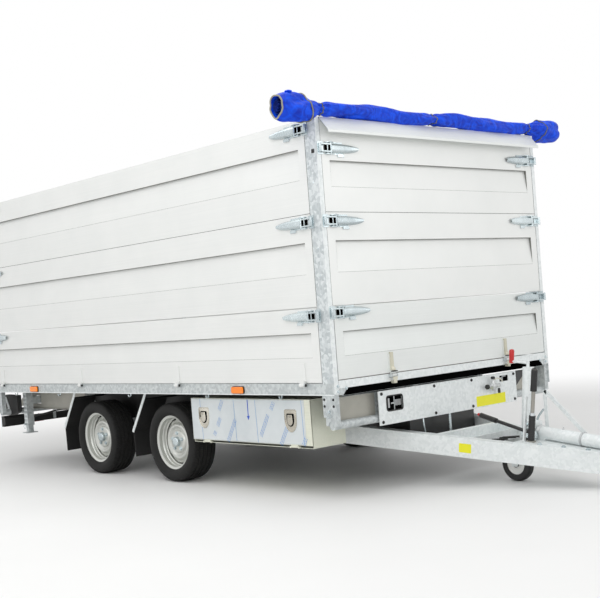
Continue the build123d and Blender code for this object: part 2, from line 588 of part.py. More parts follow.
# Toolbox: end plates, floor and roof, back, and a drop-down door
box_face = -HALF + BOX_OUT
box_edge = box_face + MOVE_GAP
box_in = box_face + BOX_DEPTH
DOOR_AXIS_Y = box_face - 6
DOOR_AXIS_Z = BOX_BOTTOM + 8
DOOR_PIN_R = 2.5
ends = block(BOX_REAR, BOX_REAR + SHEET, box_edge, box_in, BOX_BOTTOM, BOX_TOP)
ends += block(BOX_FRONT - SHEET, BOX_FRONT, box_edge, box_in, BOX_BOTTOM, BOX_TOP)
parts["toolbox_ends"] = ends
parts["toolbox_floor_and_roof"] = block(BOX_REAR + SHEET, BOX_FRONT - SHEET, box_edge, box_in, BOX_BOTTOM,
                                        BOX_BOTTOM + SHEET)
parts["toolbox_floor_and_roof"] += block(BOX_REAR + SHEET, BOX_FRONT - SHEET, box_edge, box_in, BOX_TOP - SHEET,
                                         BOX_TOP)
parts["toolbox_back"] = block(BOX_REAR + SHEET, BOX_FRONT - SHEET, box_in - SHEET, box_in, BOX_BOTTOM + SHEET,
                              BOX_TOP - SHEET)
door = block(BOX_REAR, BOX_FRONT, box_face - SHEET, box_face, BOX_BOTTOM + 16, BOX_TOP)
door_hinges = None
for x in (BOX_FRONT - 150, BOX_REAR + 150):
    door_bore = rod_x(DOOR_AXIS_Y, DOOR_AXIS_Z, DOOR_PIN_R + PIN_FIT, x - 60, x + 60)
    door += rod_x(DOOR_AXIS_Y, DOOR_AXIS_Z, 6, x - 30, x + 30)
    door += block(x - 30, x + 30, DOOR_AXIS_Y - 1, box_face, DOOR_AXIS_Z + 2, BOX_BOTTOM + 20)
    door -= door_bore
    hinge = rod_x(DOOR_AXIS_Y, DOOR_AXIS_Z, DOOR_PIN_R, x - 42, x + 42)
    for a in (x - 42, x + 32):
        hinge += block(a, a + 10, DOOR_AXIS_Y - 4, box_edge, BOX_BOTTOM, DOOR_AXIS_Z + 4)
    door_hinges = hinge if door_hinges is None else door_hinges + hinge
parts["toolbox_hinges"] = door_hinges
parts["toolbox_door"] = door

# Rear prop legs
LEG_FOOT = 255
LEG_PLATE = 6
for sign, side in ((-1, "right"), (1, "left")):
    leg = block(LEG_X - LEG_TUBE / 2, LEG_X + LEG_TUBE / 2, sign * (LEG_Y - LEG_TUBE / 2),
                sign * (LEG_Y + LEG_TUBE / 2), LEG_FOOT, SLEEVE_TOP + 10)
    bore = LEG_TUBE / 2 - LEG_WALL
    leg -= block(LEG_X - bore, LEG_X + bore, sign * (LEG_Y - bore), sign * (LEG_Y + bore), LEG_FOOT + LEG_PLATE,
                 SLEEVE_TOP + 15)
    leg += block(LEG_X - 45, LEG_X + 45, sign * (LEG_Y - 45), sign * (LEG_Y + 45), LEG_FOOT - LEG_PLATE, LEG_FOOT)
    parts[f"prop_leg_{side}"] = leg

# Rear light bar with a lamp block at each end
LAMP_LENGTH = 210
LAMP_OVER = 14
bar_half = HALF - 90
bar = block(LIGHT_BAR_X - 20, LIGHT_BAR_X, -bar_half, bar_half, LIGHT_BAR_BOTTOM, LIGHT_BAR_TOP)
for sign in (-1, 1):
    y0, y1 = sorted((sign * (bar_half - LAMP_LENGTH), sign * bar_half))
    bar += block(REARMOST, LIGHT_BAR_X - 20, y0, y1, LIGHT_BAR_BOTTOM - LAMP_OVER, LIGHT_BAR_TOP + LAMP_OVER)
parts["rear_light_bar"] = bar

# Tipping cylinder: barrel on a cross pivot and four telescopic stages
BARREL_BOTTOM = 190
STAGE_COUNT = 4
STAGE_WALL = 6
STAGE_LENGTH = 340
STAGE_STEP = 9
barrel_or = 66
barrel = Pos(CYL_X, 0, BARREL_BOTTOM) * Cylinder(barrel_or, STAGE_LENGTH + 6, align=(Align.CENTER, Align.CENTER, Align.MIN))
barrel -= Pos(CYL_X, 0, BARREL_BOTTOM + 8) * Cylinder(barrel_or - STAGE_WALL, 500, align=(Align.CENTER, Align.CENTER, Align.MIN))
for sign in (-1, 1):
    y0, y1 = sorted((sign * (barrel_or - 4), sign * (CHEEK_IN + CHEEK_THICK)))
    barrel += rod_y(CYL_X, PIVOT_Z, PIVOT_R, y0, y1)
    y0, y1 = sorted((sign * (barrel_or - 4), sign * (CHEEK_IN - 6)))
    barrel += rod_y(CYL_X, PIVOT_Z, 24, y0, y1)
parts["cylinder_barrel"] = barrel
outer = barrel_or - STAGE_WALL
for i in range(1, STAGE_COUNT + 1):
    radius = outer - TUBE_GAP
    z0 = BARREL_BOTTOM + 9
    stage = Pos(CYL_X, 0, z0) * Cylinder(radius, STAGE_LENGTH + (i - 1) * STAGE_STEP, align=(Align.CENTER, Align.CENTER, Align.MIN))
    if i < STAGE_COUNT:
        stage -= Pos(CYL_X, 0, z0 - 1) * Cylinder(radius - STAGE_WALL, 600, align=(Align.CENTER, Align.CENTER, Align.MIN))
    else:
        stage += Pos(CYL_X, 0, HEAD_Z) * Sphere(HEAD_R)
    parts[f"cylinder_stage_{i}"] = stage
    outer = radius - STAGE_WALL

# Hydraulic unit under the bed's front, hung from the two foremost cross members
UNIT_FRONT = FRONT - 100
UNIT_LENGTH = 340
UNIT_HALF = 300
UNIT_BOTTOM = 245
unit = block(UNIT_FRONT - UNIT_LENGTH, UNIT_FRONT, -UNIT_HALF, UNIT_HALF, UNIT_BOTTOM, BEAM_BOTTOM + BEAM_WALL)
parts["hydraulic_unit"] = fillet(unit.edges().filter_by(Axis.X), 20)

# Drawbar, in its own falling plane: x along the fall, z square to it
fall = math.radians(DRAW_FALL)
draw = Plane(origin=(DRAW_ROOT_X, 0, DRAW_ROOT_Z), x_dir=(math.cos(fall), 0, -math.sin(fall)),
             z_dir=(math.sin(fall), 0, math.cos(fall)))
draw_len = (DRAW_TIP_X - DRAW_ROOT_X) / math.cos(fall)


def draw_x(x):
    """Distance along the drawbar's top of the point above X = x."""
    return (x - DRAW_ROOT_X) / math.cos(fall)


def outer_y(lx):
    """Outer face of the V at a distance along it."""
    return DRAW_ROOT_Y + (DRAW_TIP_Y - DRAW_ROOT_Y) * lx / draw_len


def in_draw(outline, z0, z1):
    """Prism on the drawbar's plane."""
    return draw * along_z(outline, z0, z1)


drawbar = None
for sign in (-1, 1):
    beam = in_draw([(0, sign * DRAW_ROOT_Y), (draw_len, sign * DRAW_TIP_Y),
                    (draw_len, sign * (DRAW_TIP_Y - DRAW_WIDTH)), (0, sign * (DRAW_ROOT_Y - DRAW_WIDTH))], -DRAW_HEIGHT, 0)
    drawbar = beam if drawbar is None else drawbar + beam
for sign in (-1, 1):
    w = DRAW_WALL
    hollow_end = draw_len - 260
    drawbar -= in_draw([(-5, sign * (outer_y(-5) - w)), (hollow_end, sign * (outer_y(hollow_end) - w)),
                        (hollow_end, sign * (outer_y(hollow_end) - DRAW_WIDTH + w)),
                        (-5, sign * (outer_y(-5) - DRAW_WIDTH + w))], -DRAW_HEIGHT + w, -w)
bar_x = draw_x(FRONT + 80)
rod_half = outer_y(bar_x) - DRAW_WIDTH + 3
drawbar += draw * (Pos(bar_x, 0, -20) * (Rot(90, 0, 0) * Cylinder(18, 2 * rod_half)))
parts["drawbar"] = drawbar

TRAY_X0 = FRONT + 110
TRAY_X1 = FRONT + 300
TRAY_DEPTH = 60
tray_a = draw_x(TRAY_X0)
tray_b = draw_x(TRAY_X1)


def tray_outline(inset):
    """Trapezium between the drawbar's inner faces."""
    ya = outer_y(tray_a + inset) - DRAW_WIDTH - inset
    yb = outer_y(tray_b - inset) - DRAW_WIDTH - inset
    return [(tray_a + inset, -ya), (tray_b - inset, -yb), (tray_b - inset, yb), (tray_a + inset, ya)]


tray = in_draw(tray_outline(0), -TRAY_DEPTH, 0) - in_draw(tray_outline(SHEET), -TRAY_DEPTH + SHEET, 10)
parts["drawbar_tray"] = tray

# Overrun device on the V's tip
HOUSING_AHEAD = 560  # front wall to the housing's base
HEAD_LENGTH = 150  # the coupling, from the bellows to its tip
BELLOWS_LENGTH = 90
BELLOWS_X1 = OVERALL_LENGTH / 2 - HEAD_LENGTH
HOUSING_X0 = FRONT + HOUSING_AHEAD
HOUSING_X1 = BELLOWS_X1 - BELLOWS_LENGTH
RAM_Z = 46
HOUSING_R = 36
SEAT_HALF = 28
BASE_THICK = 8
hx0 = draw_x(HOUSING_X0)
hx1 = draw_x(HOUSING_X1)
base_half = 62
housing = in_draw([(hx0, -outer_y(hx0) + 8), (draw_len, -base_half), (draw_len, base_half), (hx0, outer_y(hx0) - 8)],
                  0, BASE_THICK)
housing += draw * (Pos((hx0 + hx1) / 2 + 20, 0, RAM_Z) * (Rot(0, 90, 0) * Cylinder(HOUSING_R, hx1 - hx0 - 40)))
for lx in (hx0 + 75, draw_len - 60):
    housing += draw * block(lx - 25, lx + 25, -SEAT_HALF, SEAT_HALF, BASE_THICK - 1, RAM_Z)
parts["overrun_housing"] = housing

bx1 = draw_x(BELLOWS_X1)
bellows = None
folds = 6
for i in range(folds):
    a = hx1 + (bx1 - hx1) * i / folds
    b = hx1 + (bx1 - hx1) * (i + 1) / folds
    ring = draw * (Pos((a + b) / 2, 0, RAM_Z) * (Rot(0, 90, 0) * Cylinder(34, (b - a) * 0.6)))
    core = draw * (Pos((a + b) / 2, 0, RAM_Z) * (Rot(0, 90, 0) * Cylinder(27, b - a)))
    bellows = ring + core if bellows is None else bellows + ring + core
parts["bellows"] = bellows

BALL_R = 25
HEAD_R_OUT = 45
ball_lx = draw_x(OVERALL_LENGTH / 2 - HEAD_R_OUT - RAM_Z * math.sin(fall))
head = draw * Location((0, 0, RAM_Z))


def on_head(x0, x1, y0, y1, z0, z1):
    """Box in the drawbar's plane, its heights counted from the ram's axis."""
    return head * block(x0, x1, y0, y1, z0, z1)


coupling = on_head(bx1 + 30, ball_lx, -30, 30, -22, 30)
coupling += head * (Pos(ball_lx, 0, 0) * Sphere(HEAD_R_OUT))
coupling += head * rod_x(0, 0, 30, bx1, bx1 + 60)
coupling -= on_head(bx1 + 64, ball_lx + 60, -60, 60, -60, -14)
coupling -= head * (Pos(ball_lx, 0, -14) * Sphere(BALL_R))
coupling += on_head(bx1 + 34, ball_lx - 20, -12, 12, 28, 58)
parts["coupling_head"] = coupling

# Handbrake lever lying back over the tray, and the upright pump lever
LEVER_Y = -84
LEVER_LENGTH = 330
lever_lx = hx0 + 25
lever = draw * block(lever_lx - 22, lever_lx + 22, LEVER_Y - 6, LEVER_Y + 6, BASE_THICK, 70)
lever += draw * rod_between((lever_lx, LEVER_Y, 55), (lever_lx - LEVER_LENGTH, LEVER_Y, 105), 10)
lever += draw * rod_between((lever_lx - LEVER_LENGTH + 110, LEVER_Y, 88), (lever_lx - LEVER_LENGTH - 5, LEVER_Y, 106), 15)
parts["handbrake_lever"] = lever

PUMP_Y = -118
pump_lx = hx0 + 70
PUMP_LEAN = 2
pump_plane = draw * Location((pump_lx, PUMP_Y, BASE_THICK), (0, PUMP_LEAN, 0))
pump = draw * block(pump_lx - 20, pump_lx + 20, PUMP_Y - 20, PUMP_Y + 20, BASE_THICK, BASE_THICK + 10)
for radius, z0, z1 in ((17, 5, 150), (11, 140, 405), (16, 290, 410)):
    pump += pump_plane * (Pos(0, 0, (z0 + z1) / 2) * Cylinder(radius, z1 - z0))
parts["pump_lever"] = pump

# Jockey wheel: outer tube clamped behind the overrun device, sliding inner tube with fork, wheel
JOCKEY_OR = 30
JOCKEY_WALL = 4
JOCKEY_WHEEL_R = 100
JOCKEY_WHEEL_W = 50
JOCKEY_AHEAD = 45  # from the tube's axis to the housing's base
TRAIL = 70
FORK_TOP = 216
TUBE_FOOT = 100  # from the fork's underside to the outer tube's lower end
jockey_lx = hx0 - JOCKEY_AHEAD
axis_x = DRAW_ROOT_X + jockey_lx * math.cos(fall)
axis_z = DRAW_ROOT_Z - jockey_lx * math.sin(fall)
foot_lz = (FORK_TOP - axis_z) / math.cos(fall)
jockey = draw * Location((jockey_lx, 0, foot_lz))
inner_r = JOCKEY_OR - JOCKEY_WALL - TUBE_GAP


def jockey_tube(s0, s1, radius):
    """Round bar on the jockey's axis between two heights above its foot."""
    return jockey * (Pos(0, 0, (s0 + s1) / 2) * Cylinder(radius, s1 - s0))


JOCKEY_TOP = 440
CRANK_REACH = 114
CRANK_GRIP = 72
jockey_outer = jockey_tube(TUBE_FOOT, JOCKEY_TOP, JOCKEY_OR)
CLAMP_BOTTOM = 66
CLAMP_TOP = 106
jockey_outer += draw * block(jockey_lx, hx0 + 36, -34, 34, CLAMP_BOTTOM, CLAMP_TOP)
jockey_outer += draw * block(hx0 + 6, hx0 + 36, -34, 34, BASE_THICK, CLAMP_BOTTOM)
jockey_outer -= jockey_tube(0, JOCKEY_TOP - 8, JOCKEY_OR - JOCKEY_WALL)
jockey_outer += jockey_tube(JOCKEY_TOP - 4, JOCKEY_TOP + 34, 9)
jockey_outer += jockey * rod_x(0, JOCKEY_TOP + 24, 7, -CRANK_REACH - 6, 6)
jockey_outer += jockey * (Pos(-CRANK_REACH, 0, JOCKEY_TOP + 50) * Cylinder(11, CRANK_GRIP))
parts["jockey_outer_tube"] = jockey_outer
hub_x = axis_x + (FORK_TOP - axis_z) * math.tan(fall) - TRAIL
inner = jockey_tube(0, JOCKEY_TOP - 110, inner_r)
fork_half = JOCKEY_WHEEL_W / 2 + MOVE_GAP
inner += jockey * block(-60, 34, -fork_half - 5, fork_half + 5, 0, 8)
for sign in (-1, 1):
    y0, y1 = sorted((sign * fork_half, sign * (fork_half + 5)))
    inner += along_y([(hub_x - 6, FORK_TOP + 6), (hub_x + 90, FORK_TOP), (hub_x + 18, JOCKEY_WHEEL_R - 14),
                      (hub_x - 18, JOCKEY_WHEEL_R - 14)], y0, y1)
inner += rod_y(hub_x, JOCKEY_WHEEL_R, 8, -fork_half - 10, fork_half + 10)
parts["jockey_inner_tube"] = inner
jockey_wheel = rod_y(hub_x, JOCKEY_WHEEL_R, JOCKEY_WHEEL_R, -JOCKEY_WHEEL_W / 2, JOCKEY_WHEEL_W / 2)
jockey_wheel = fillet(jockey_wheel.edges().filter_by(GeomType.CIRCLE), 14)
jockey_wheel -= rod_y(hub_x, JOCKEY_WHEEL_R, 8 + PIN_FIT, -60, 60)
for sign in (-1, 1):
    y0, y1 = sorted((sign * 12, sign * 40))
    jockey_wheel -= rod_y(hub_x, JOCKEY_WHEEL_R, 62, y0, y1) - rod_y(hub_x, JOCKEY_WHEEL_R, 20, -60, 60)
parts["jockey_wheel"] = jockey_wheel

for node, shape in parts.items():
    export_step(shape, f"parts/{node}.step")
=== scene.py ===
"""Looks of a twin-axle dump trailer with board walls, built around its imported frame.

The frame has +X to the coupling, +Y to the left-hand side and +Z up, in metres, with the ground
at Z = 0. Each sub-assembly is a class that builds its own pieces and dresses the frame's nodes.
"""

from __future__ import annotations

import json
import logging
import math
from collections.abc import Sequence
from dataclasses import dataclass, field
from enum import Enum

import bmesh
import bpy
import numpy as np
from mathutils import Matrix

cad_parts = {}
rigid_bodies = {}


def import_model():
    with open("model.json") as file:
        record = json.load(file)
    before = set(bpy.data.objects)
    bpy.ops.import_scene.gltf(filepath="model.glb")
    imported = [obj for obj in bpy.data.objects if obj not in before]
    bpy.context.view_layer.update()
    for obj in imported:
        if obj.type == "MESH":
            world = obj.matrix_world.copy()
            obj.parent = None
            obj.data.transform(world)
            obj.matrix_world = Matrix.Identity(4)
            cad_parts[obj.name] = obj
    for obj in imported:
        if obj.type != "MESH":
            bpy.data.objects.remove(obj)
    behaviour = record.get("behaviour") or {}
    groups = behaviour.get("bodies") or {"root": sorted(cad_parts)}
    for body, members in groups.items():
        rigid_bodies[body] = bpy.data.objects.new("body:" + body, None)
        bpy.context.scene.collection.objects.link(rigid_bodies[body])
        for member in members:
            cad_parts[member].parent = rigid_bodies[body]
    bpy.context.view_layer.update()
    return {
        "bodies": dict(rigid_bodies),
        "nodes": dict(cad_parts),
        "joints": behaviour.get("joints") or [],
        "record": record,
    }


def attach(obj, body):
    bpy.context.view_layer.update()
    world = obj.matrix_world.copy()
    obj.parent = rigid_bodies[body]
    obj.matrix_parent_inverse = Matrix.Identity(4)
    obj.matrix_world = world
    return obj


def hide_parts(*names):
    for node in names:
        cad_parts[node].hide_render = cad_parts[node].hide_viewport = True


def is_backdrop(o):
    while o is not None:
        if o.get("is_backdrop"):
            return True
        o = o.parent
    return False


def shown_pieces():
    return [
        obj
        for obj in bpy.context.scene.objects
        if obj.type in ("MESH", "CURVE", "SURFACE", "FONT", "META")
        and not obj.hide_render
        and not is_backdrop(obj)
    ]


LOG = logging.getLogger("trailer")

# Sizes shared with the frame, in metres
FRONT = 1.34
REAR = -2.76
HALF = 0.99
RAIL_BOTTOM = 0.594
BOARD_TOPS = {"lower": 1.078, "middle": 1.596, "upper": 2.111}
# Heights of each board's groove and joint, on the side walls and then on the end walls
GROOVES = {"lower": (0.940, 0.804, 0.940, 0.804), "middle": (1.440, 1.265, 1.440, 1.265),
           "upper": (1.956, 1.786, 1.880, 1.735)}
TYRE_R = 0.2625
WHEEL_MID = 0.8265
AXLE_X = {"front": -0.348, "rear": -1.284}
SIDES = {"right": -1.0, "left": 1.0}
ENDS = (("front", FRONT, 1.0), ("rear", REAR, -1.0))
DRAW_ROOT = (0.84, 0.362)
DRAW_FALL = 0.11
DRAW_ROOT_Y = 0.5
DRAW_TIP = (2.44, 0.053)
RAM_Z = 0.046

Vec = tuple[float, float, float]
Outline = Sequence[tuple[float, float]] | np.ndarray
Path = Sequence[Vec] | np.ndarray


def linear(code: str) -> tuple[float, float, float, float]:
    """sRGB hex code to linear red, green, blue and an alpha of one."""
    values = np.array([int(code[i:i + 2], 16) / 255 for i in (1, 3, 5)])
    flat = np.where(values <= 0.04045, values / 12.92, ((values + 0.055) / 1.055) ** 2.4)
    return (float(flat[0]), float(flat[1]), float(flat[2]), 1.0)


def add(tree: bpy.types.NodeTree, kind: str, settings: dict | None = None,
        links: dict | None = None) -> bpy.types.Node:
    """Adds a node with its settings and links.

    Args:
        tree: the material's or world's tree.
        kind: the node's type name.
        settings: property names or input sockets (by name or number) with their values.
        links: input sockets with the output sockets that feed them.

    Returns:
        The new node.
    """
    node = tree.nodes.new(kind)
    for key, value in (settings or {}).items():
        if isinstance(key, int) or key in node.inputs:
            node.inputs[key].default_value = value
        else:
            setattr(node, key, value)
    for key, source in (links or {}).items():
        tree.links.new(source, node.inputs[key])
    return node


class Grain(Enum):
    """How a finish's surface was made."""

    DRAWN_X = "drawn along the trailer"
    DRAWN_Y = "drawn across the trailer"
    SPANGLE = "dipped in molten zinc"
    MOULDED = "moulded"
    WOVEN = "woven and coated"
    SPRAYED = "sprayed"
    PLATED = "plated"


DRAWN_PITCH = 0.004
SPANGLE_SIZE = 0.016
MOULD_GRIT = 0.0015
WEAVE_PITCH = 0.003


@dataclass(frozen=True)
class Finish:
    """A real material and how its surface was made.

    The pattern varies the base colour between two hex values, and the roughness and a bump
    follow the same pattern.
    """

    name: str
    light: str
    dark: str
    rough: float
    metal: float = 0.0
    grain: Grain = Grain.MOULDED
    bump: float = 0.1
    coat: float = 0.0
    glow: float = 0.0
    relief: float = 0.0006
    shine: float = 0.5

    def pattern(self, tree: bpy.types.NodeTree) -> tuple[bpy.types.NodeSocket, bpy.types.NodeSocket]:
        """Colour pattern and height pattern, each from 0 to 1, on Object coordinates in metres.

        Args:
            tree: the material's tree.

        Returns:
            The socket that mixes the two colours, and the socket of the bump's height.
        """
        here = add(tree, "ShaderNodeTexCoord").outputs["Object"]
        broad = add(tree, "ShaderNodeTexNoise", {"Scale": 3.2, "Detail": 4.0, "Roughness": 0.6},
                    {"Vector": here})
        if self.grain in (Grain.DRAWN_X, Grain.DRAWN_Y):
            fine = 1 / DRAWN_PITCH
            slow = 1.5
            scale = (slow, fine, fine) if self.grain is Grain.DRAWN_X else (fine, slow, fine)
            stretched = add(tree, "ShaderNodeMapping", {"Scale": scale}, {"Vector": here})
            lines = add(tree, "ShaderNodeTexNoise", {"Scale": 1.0, "Detail": 3.0},
                        {"Vector": stretched.outputs[0]})
            mixed = add(tree, "ShaderNodeMix", {0: 0.45},
                        {2: broad.outputs["Fac"], 3: lines.outputs["Fac"]})
            return mixed.outputs[0], lines.outputs["Fac"]
        if self.grain is Grain.SPANGLE:
            cells = add(tree, "ShaderNodeTexVoronoi", {"Scale": 1 / SPANGLE_SIZE, "Randomness": 1.0},
                        {"Vector": here})
            tone = add(tree, "ShaderNodeSeparateColor", {}, {0: cells.outputs["Color"]})
            mixed = add(tree, "ShaderNodeMix", {0: 0.5}, {2: broad.outputs["Fac"], 3: tone.outputs[0]})
            return mixed.outputs[0], tone.outputs[1]
        if self.grain is Grain.WOVEN:
            u = add(tree, "ShaderNodeTexCoord").outputs["UV"]
            weft, warp = (add(tree, "ShaderNodeTexWave",
                              {"bands_direction": way, "Scale": 1 / WEAVE_PITCH / 6.28}, {"Vector": u})
                          for way in "XY")
            cross = add(tree, "ShaderNodeMath", {"operation": "MULTIPLY"},
                        {0: weft.outputs["Fac"], 1: warp.outputs["Fac"]})
            # The colour follows the folds' noise and is darker where they sink: painted shade in the
            # folds' hollows
            folds_and_shade = add(tree, "ShaderNodeTexNoise", {"Scale": 13.0, "Detail": 4.0, "Distortion": 1.8},
                         {"Vector": here})
            relief = add(tree, "ShaderNodeMath", {"operation": "MULTIPLY_ADD", 1: 0.06},
                         {0: cross.outputs[0], 2: folds_and_shade.outputs["Fac"]})
            return folds_and_shade.outputs["Fac"], relief.outputs[0]
        size = MOULD_GRIT if self.grain is Grain.MOULDED else 0.004
        grit = add(tree, "ShaderNodeTexNoise", {"Scale": 1 / size, "Detail": 2.0}, {"Vector": here})
        return broad.outputs["Fac"], grit.outputs["Fac"]

    def build(self) -> bpy.types.Material:
        """Makes the material, or gives it back if it has been made."""
        made = bpy.data.materials.get(self.name)
        if made is not None:
            return made
        made = bpy.data.materials.new(self.name)
        made.use_nodes = True
        tree = made.node_tree
        shader = tree.nodes["Principled BSDF"]
        shader.inputs["Metallic"].default_value = self.metal
        shader.inputs["Specular IOR Level"].default_value = self.shine
        if self.coat:
            shader.inputs["Coat Weight"].default_value = self.coat
            shader.inputs["Coat Roughness"].default_value = 0.12
        if self.glow:
            shader.inputs["Emission Color"].default_value = linear(self.light)
            shader.inputs["Emission Strength"].default_value = self.glow
        shade, height = self.pattern(tree)
        ramp = add(tree, "ShaderNodeMapRange", {"From Min": 0.3, "From Max": 0.7}, {"Value": shade})
        colour = add(tree, "ShaderNodeMix",
                     {"data_type": "RGBA", 6: linear(self.dark), 7: linear(self.light)},
                     {0: ramp.outputs[0]})
        tree.links.new(colour.outputs[2], shader.inputs["Base Color"])
        rough = add(tree, "ShaderNodeMapRange",
                    {"To Min": self.rough - 0.06, "To Max": self.rough + 0.06}, {"Value": height})
        tree.links.new(rough.outputs[0], shader.inputs["Roughness"])
        bump = add(tree, "ShaderNodeBump", {"Strength": self.bump, "Distance": self.relief},
                   {"Height": height})
        tree.links.new(bump.outputs[0], shader.inputs["Normal"])
        return made


# Extruded aluminium, anodised: satin, near white, with fine lines along each board
BOARD_SIDE = Finish("anodised_extrusion_side", "#E9EAE8", "#E1E3E1", 0.44, 0.30, Grain.DRAWN_X, 0.04)
BOARD_END = Finish("anodised_extrusion_end", "#E4E7E5", "#DCDFDD", 0.44, 0.30, Grain.DRAWN_Y, 0.04)
# Hot-dip galvanised steel: grey, mottled in spangles
GALVANISED = Finish("hot_dip_galvanised", "#CDD2D2", "#B4BABB", 0.48, 0.30, Grain.SPANGLE, 0.03)
# Galvanised plate after rolling: paler and smoother
ZINC_PLATE = Finish("galvanised_plate", "#E9EDED", "#DDE2E2", 0.50, 0.15, Grain.SPANGLE, 0.02)
# Thinner zinc on the posts' tube: pale, with faint spangles
POST_ZINC = Finish("galvanised_tube", "#D8DDDE", "#B8BFC1", 0.48, 0.22, Grain.SPANGLE, 0.02)
# Bright zinc plating on pressed latches and bolts
ZINC_BRIGHT = Finish("zinc_plated_pressing", "#E2ECEE", "#A9B4B8", 0.26, 0.85, Grain.PLATED, 0.15)
# Rolled stainless sheet with a warm, faintly green tone
STAINLESS = Finish("rolled_stainless", "#E8E9DA", "#D6D8C8", 0.38, 0.40, Grain.DRAWN_X, 0.06)
# Stainless castings of the paddle latches
STAINLESS_CAST = Finish("polished_stainless", "#E9E5DA", "#9F998B", 0.22, 0.9, Grain.PLATED, 0.1)
# Thin polythene film left on the new steel
FILM = Finish("protective_film", "#DADFE0", "#C9D0D3", 0.30, 0.0, Grain.SPRAYED, 0.25, coat=0.4)
FILM_EDGE = Finish("film_overlap", "#86AEDA", "#6E9BCB", 0.35, 0.0, Grain.SPRAYED, 0.2)
FILM_INK = Finish("blue_film_ink", "#4F97DC", "#3A80CC", 0.5, 0.0, Grain.SPRAYED, 0.1)
ARROW_INK = Finish("dark_blue_film_ink", "#2F66D6", "#1D4FBE", 0.5, 0.0, Grain.SPRAYED, 0.1)
# Tyre rubber: near black, matt
RUBBER = Finish("tyre_rubber_moulded", "#181817", "#0E0E0D", 0.82, 0.0, Grain.MOULDED, 0.2)
SMOOTH_RUBBER = Finish("moulded_gaiter_rubber", "#1C1C1C", "#0E0E0E", 0.5, 0.0, Grain.MOULDED, 0.2)
# Silver wheel paint: satin, a little warm
WHEEL_PAINT = Finish("silver_wheel_paint", "#D2D3CE", "#C2C4BF", 0.32, 0.60, Grain.SPRAYED, 0.05,
                     coat=0.2)
# Black glass-filled polypropylene: dull and finely grained
BLACK_PLASTIC = Finish("black_polypropylene", "#242424", "#151515", 0.55, 0.0, Grain.MOULDED, 0.3)
BLACK_PAINT = Finish("black_powder_coat", "#191919", "#0C0C0C", 0.38, 0.0, Grain.SPRAYED, 0.1, coat=0.3)
# Coated polyester of the cover: royal blue, slightly glossy; its darker blue lies in the folds' hollows
# as painted shade
COVER_CLOTH = Finish("coated_polyester_blue", "#0C54EC", "#032AAC", 0.50, 0.0, Grain.WOVEN, 0.45,
                     relief=0.008, shine=0.2)
# Reverse of the cover's cloth, seen inside the roll's mouth; its dark navy is painted shade inside the
# roll
COVER_INSIDE = Finish("coated_polyester_reverse_shaded", "#16308E", "#0A1A5A", 0.6, 0.0, Grain.WOVEN, 0.3,
                      relief=0.003, shine=0.15)
# Webbing and cord with dirt worked into them
HEM_CLOTH = Finish("grey_hem_webbing", "#A7A495", "#6F6C60", 0.8, 0.0, Grain.MOULDED, 0.4)
TIE_CORD = Finish("braided_tie_cord", "#8F8C7C", "#3F3E38", 0.8, 0.0, Grain.MOULDED, 0.5)
# Plywood with a dark phenolic film, dull and slightly streaked
DECK = Finish("phenolic_plywood", "#4A3A2C", "#33271D", 0.45, 0.0, Grain.DRAWN_X, 0.2)
# Polycarbonate lenses under a clear coat; the amber ones glow a little
AMBER = Finish("amber_lens", "#FF8F12", "#EE7804", 0.25, 0.0, Grain.SPRAYED, 0.05, coat=0.3, glow=0.08)
RED_LENS = Finish("red_lens", "#C51A16", "#8E0F0E", 0.2, 0.0, Grain.SPRAYED, 0.05, coat=0.5)
RED_PLASTIC = Finish("red_moulded_plastic", "#D52B2B", "#A81B1E", 0.35, 0.0, Grain.MOULDED, 0.1)
YELLOW_FILM = Finish("yellow_blank_label", "#F6F22A", "#E8E418", 0.4, 0.0, Grain.SPRAYED, 0.05)
WHITE_PLATE = Finish("white_blank_plate", "#F1F1EE", "#E4E4E0", 0.4, 0.0, Grain.SPRAYED, 0.05)
# Smaller metals: plated castings, ground rod, passivated zinc, drawn tube and rolled plate
CAST_STEEL = Finish("zinc_plated_casting", "#DADCDC", "#A9ACAE", 0.42, 0.6, Grain.PLATED, 0.3)
CHROME = Finish("ground_chrome_rod", "#DADDE0", "#C4C8CC", 0.12, 1.0, Grain.PLATED, 0.02)
WARM_ZINC = Finish("yellow_passivated_zinc", "#DEDBCB", "#BDB9A6", 0.38, 0.35, Grain.PLATED, 0.1)
DRAWN_TUBE = Finish("cold_drawn_tube", "#A6A39C", "#8C8983", 0.34, 0.6, Grain.PLATED, 0.1)
BRUSHED_GREY = Finish("dull_rolled_plate", "#B9B7AE", "#A5A39A", 0.50, 0.25, Grain.SPRAYED, 0.05)
# Sides of the boards' grooves, which the light doesn't reach
GROOVE_SHADE = Finish("anodised_groove_side", "#83847F", "#737470", 0.55, 0.2, Grain.DRAWN_X, 0.02)
# Black for hollows, gaps and holes that no light reaches: painted shade
SHADOW = Finish("unlit_recess", "#080808", "#030303", 0.9, 0.0, Grain.MOULDED, 0.0, shine=0.0)


@dataclass
class Place:
    """Where a piece's own axes lie in the frame: along, out from the wall, and up."""

    origin: Vec
    along: Vec
    out: Vec
    up: Vec = (0.0, 0.0, 1.0)

    def put(self, points: np.ndarray) -> np.ndarray:
        """Own coordinates (along, out, up) to the frame's."""
        axes = np.array([self.along, self.out, self.up])
        return points @ axes + np.array(self.origin)


def on_side(sign: float, x: float = 0.0, z: float = 0.0, y: float = HALF) -> Place:
    """Place on a plane that faces one side: along +X, out from the middle, and up."""
    return Place((x, sign * y, z), (1, 0, 0), (0, sign, 0))


def on_end(x: float, out: float = 1.0, z: float = 0.0, along: float = 1.0) -> Place:
    """Place on a plane that faces the front (out is 1) or the rear (out is -1)."""
    return Place((x, 0, z), (0, along, 0), (out, 0, 0))


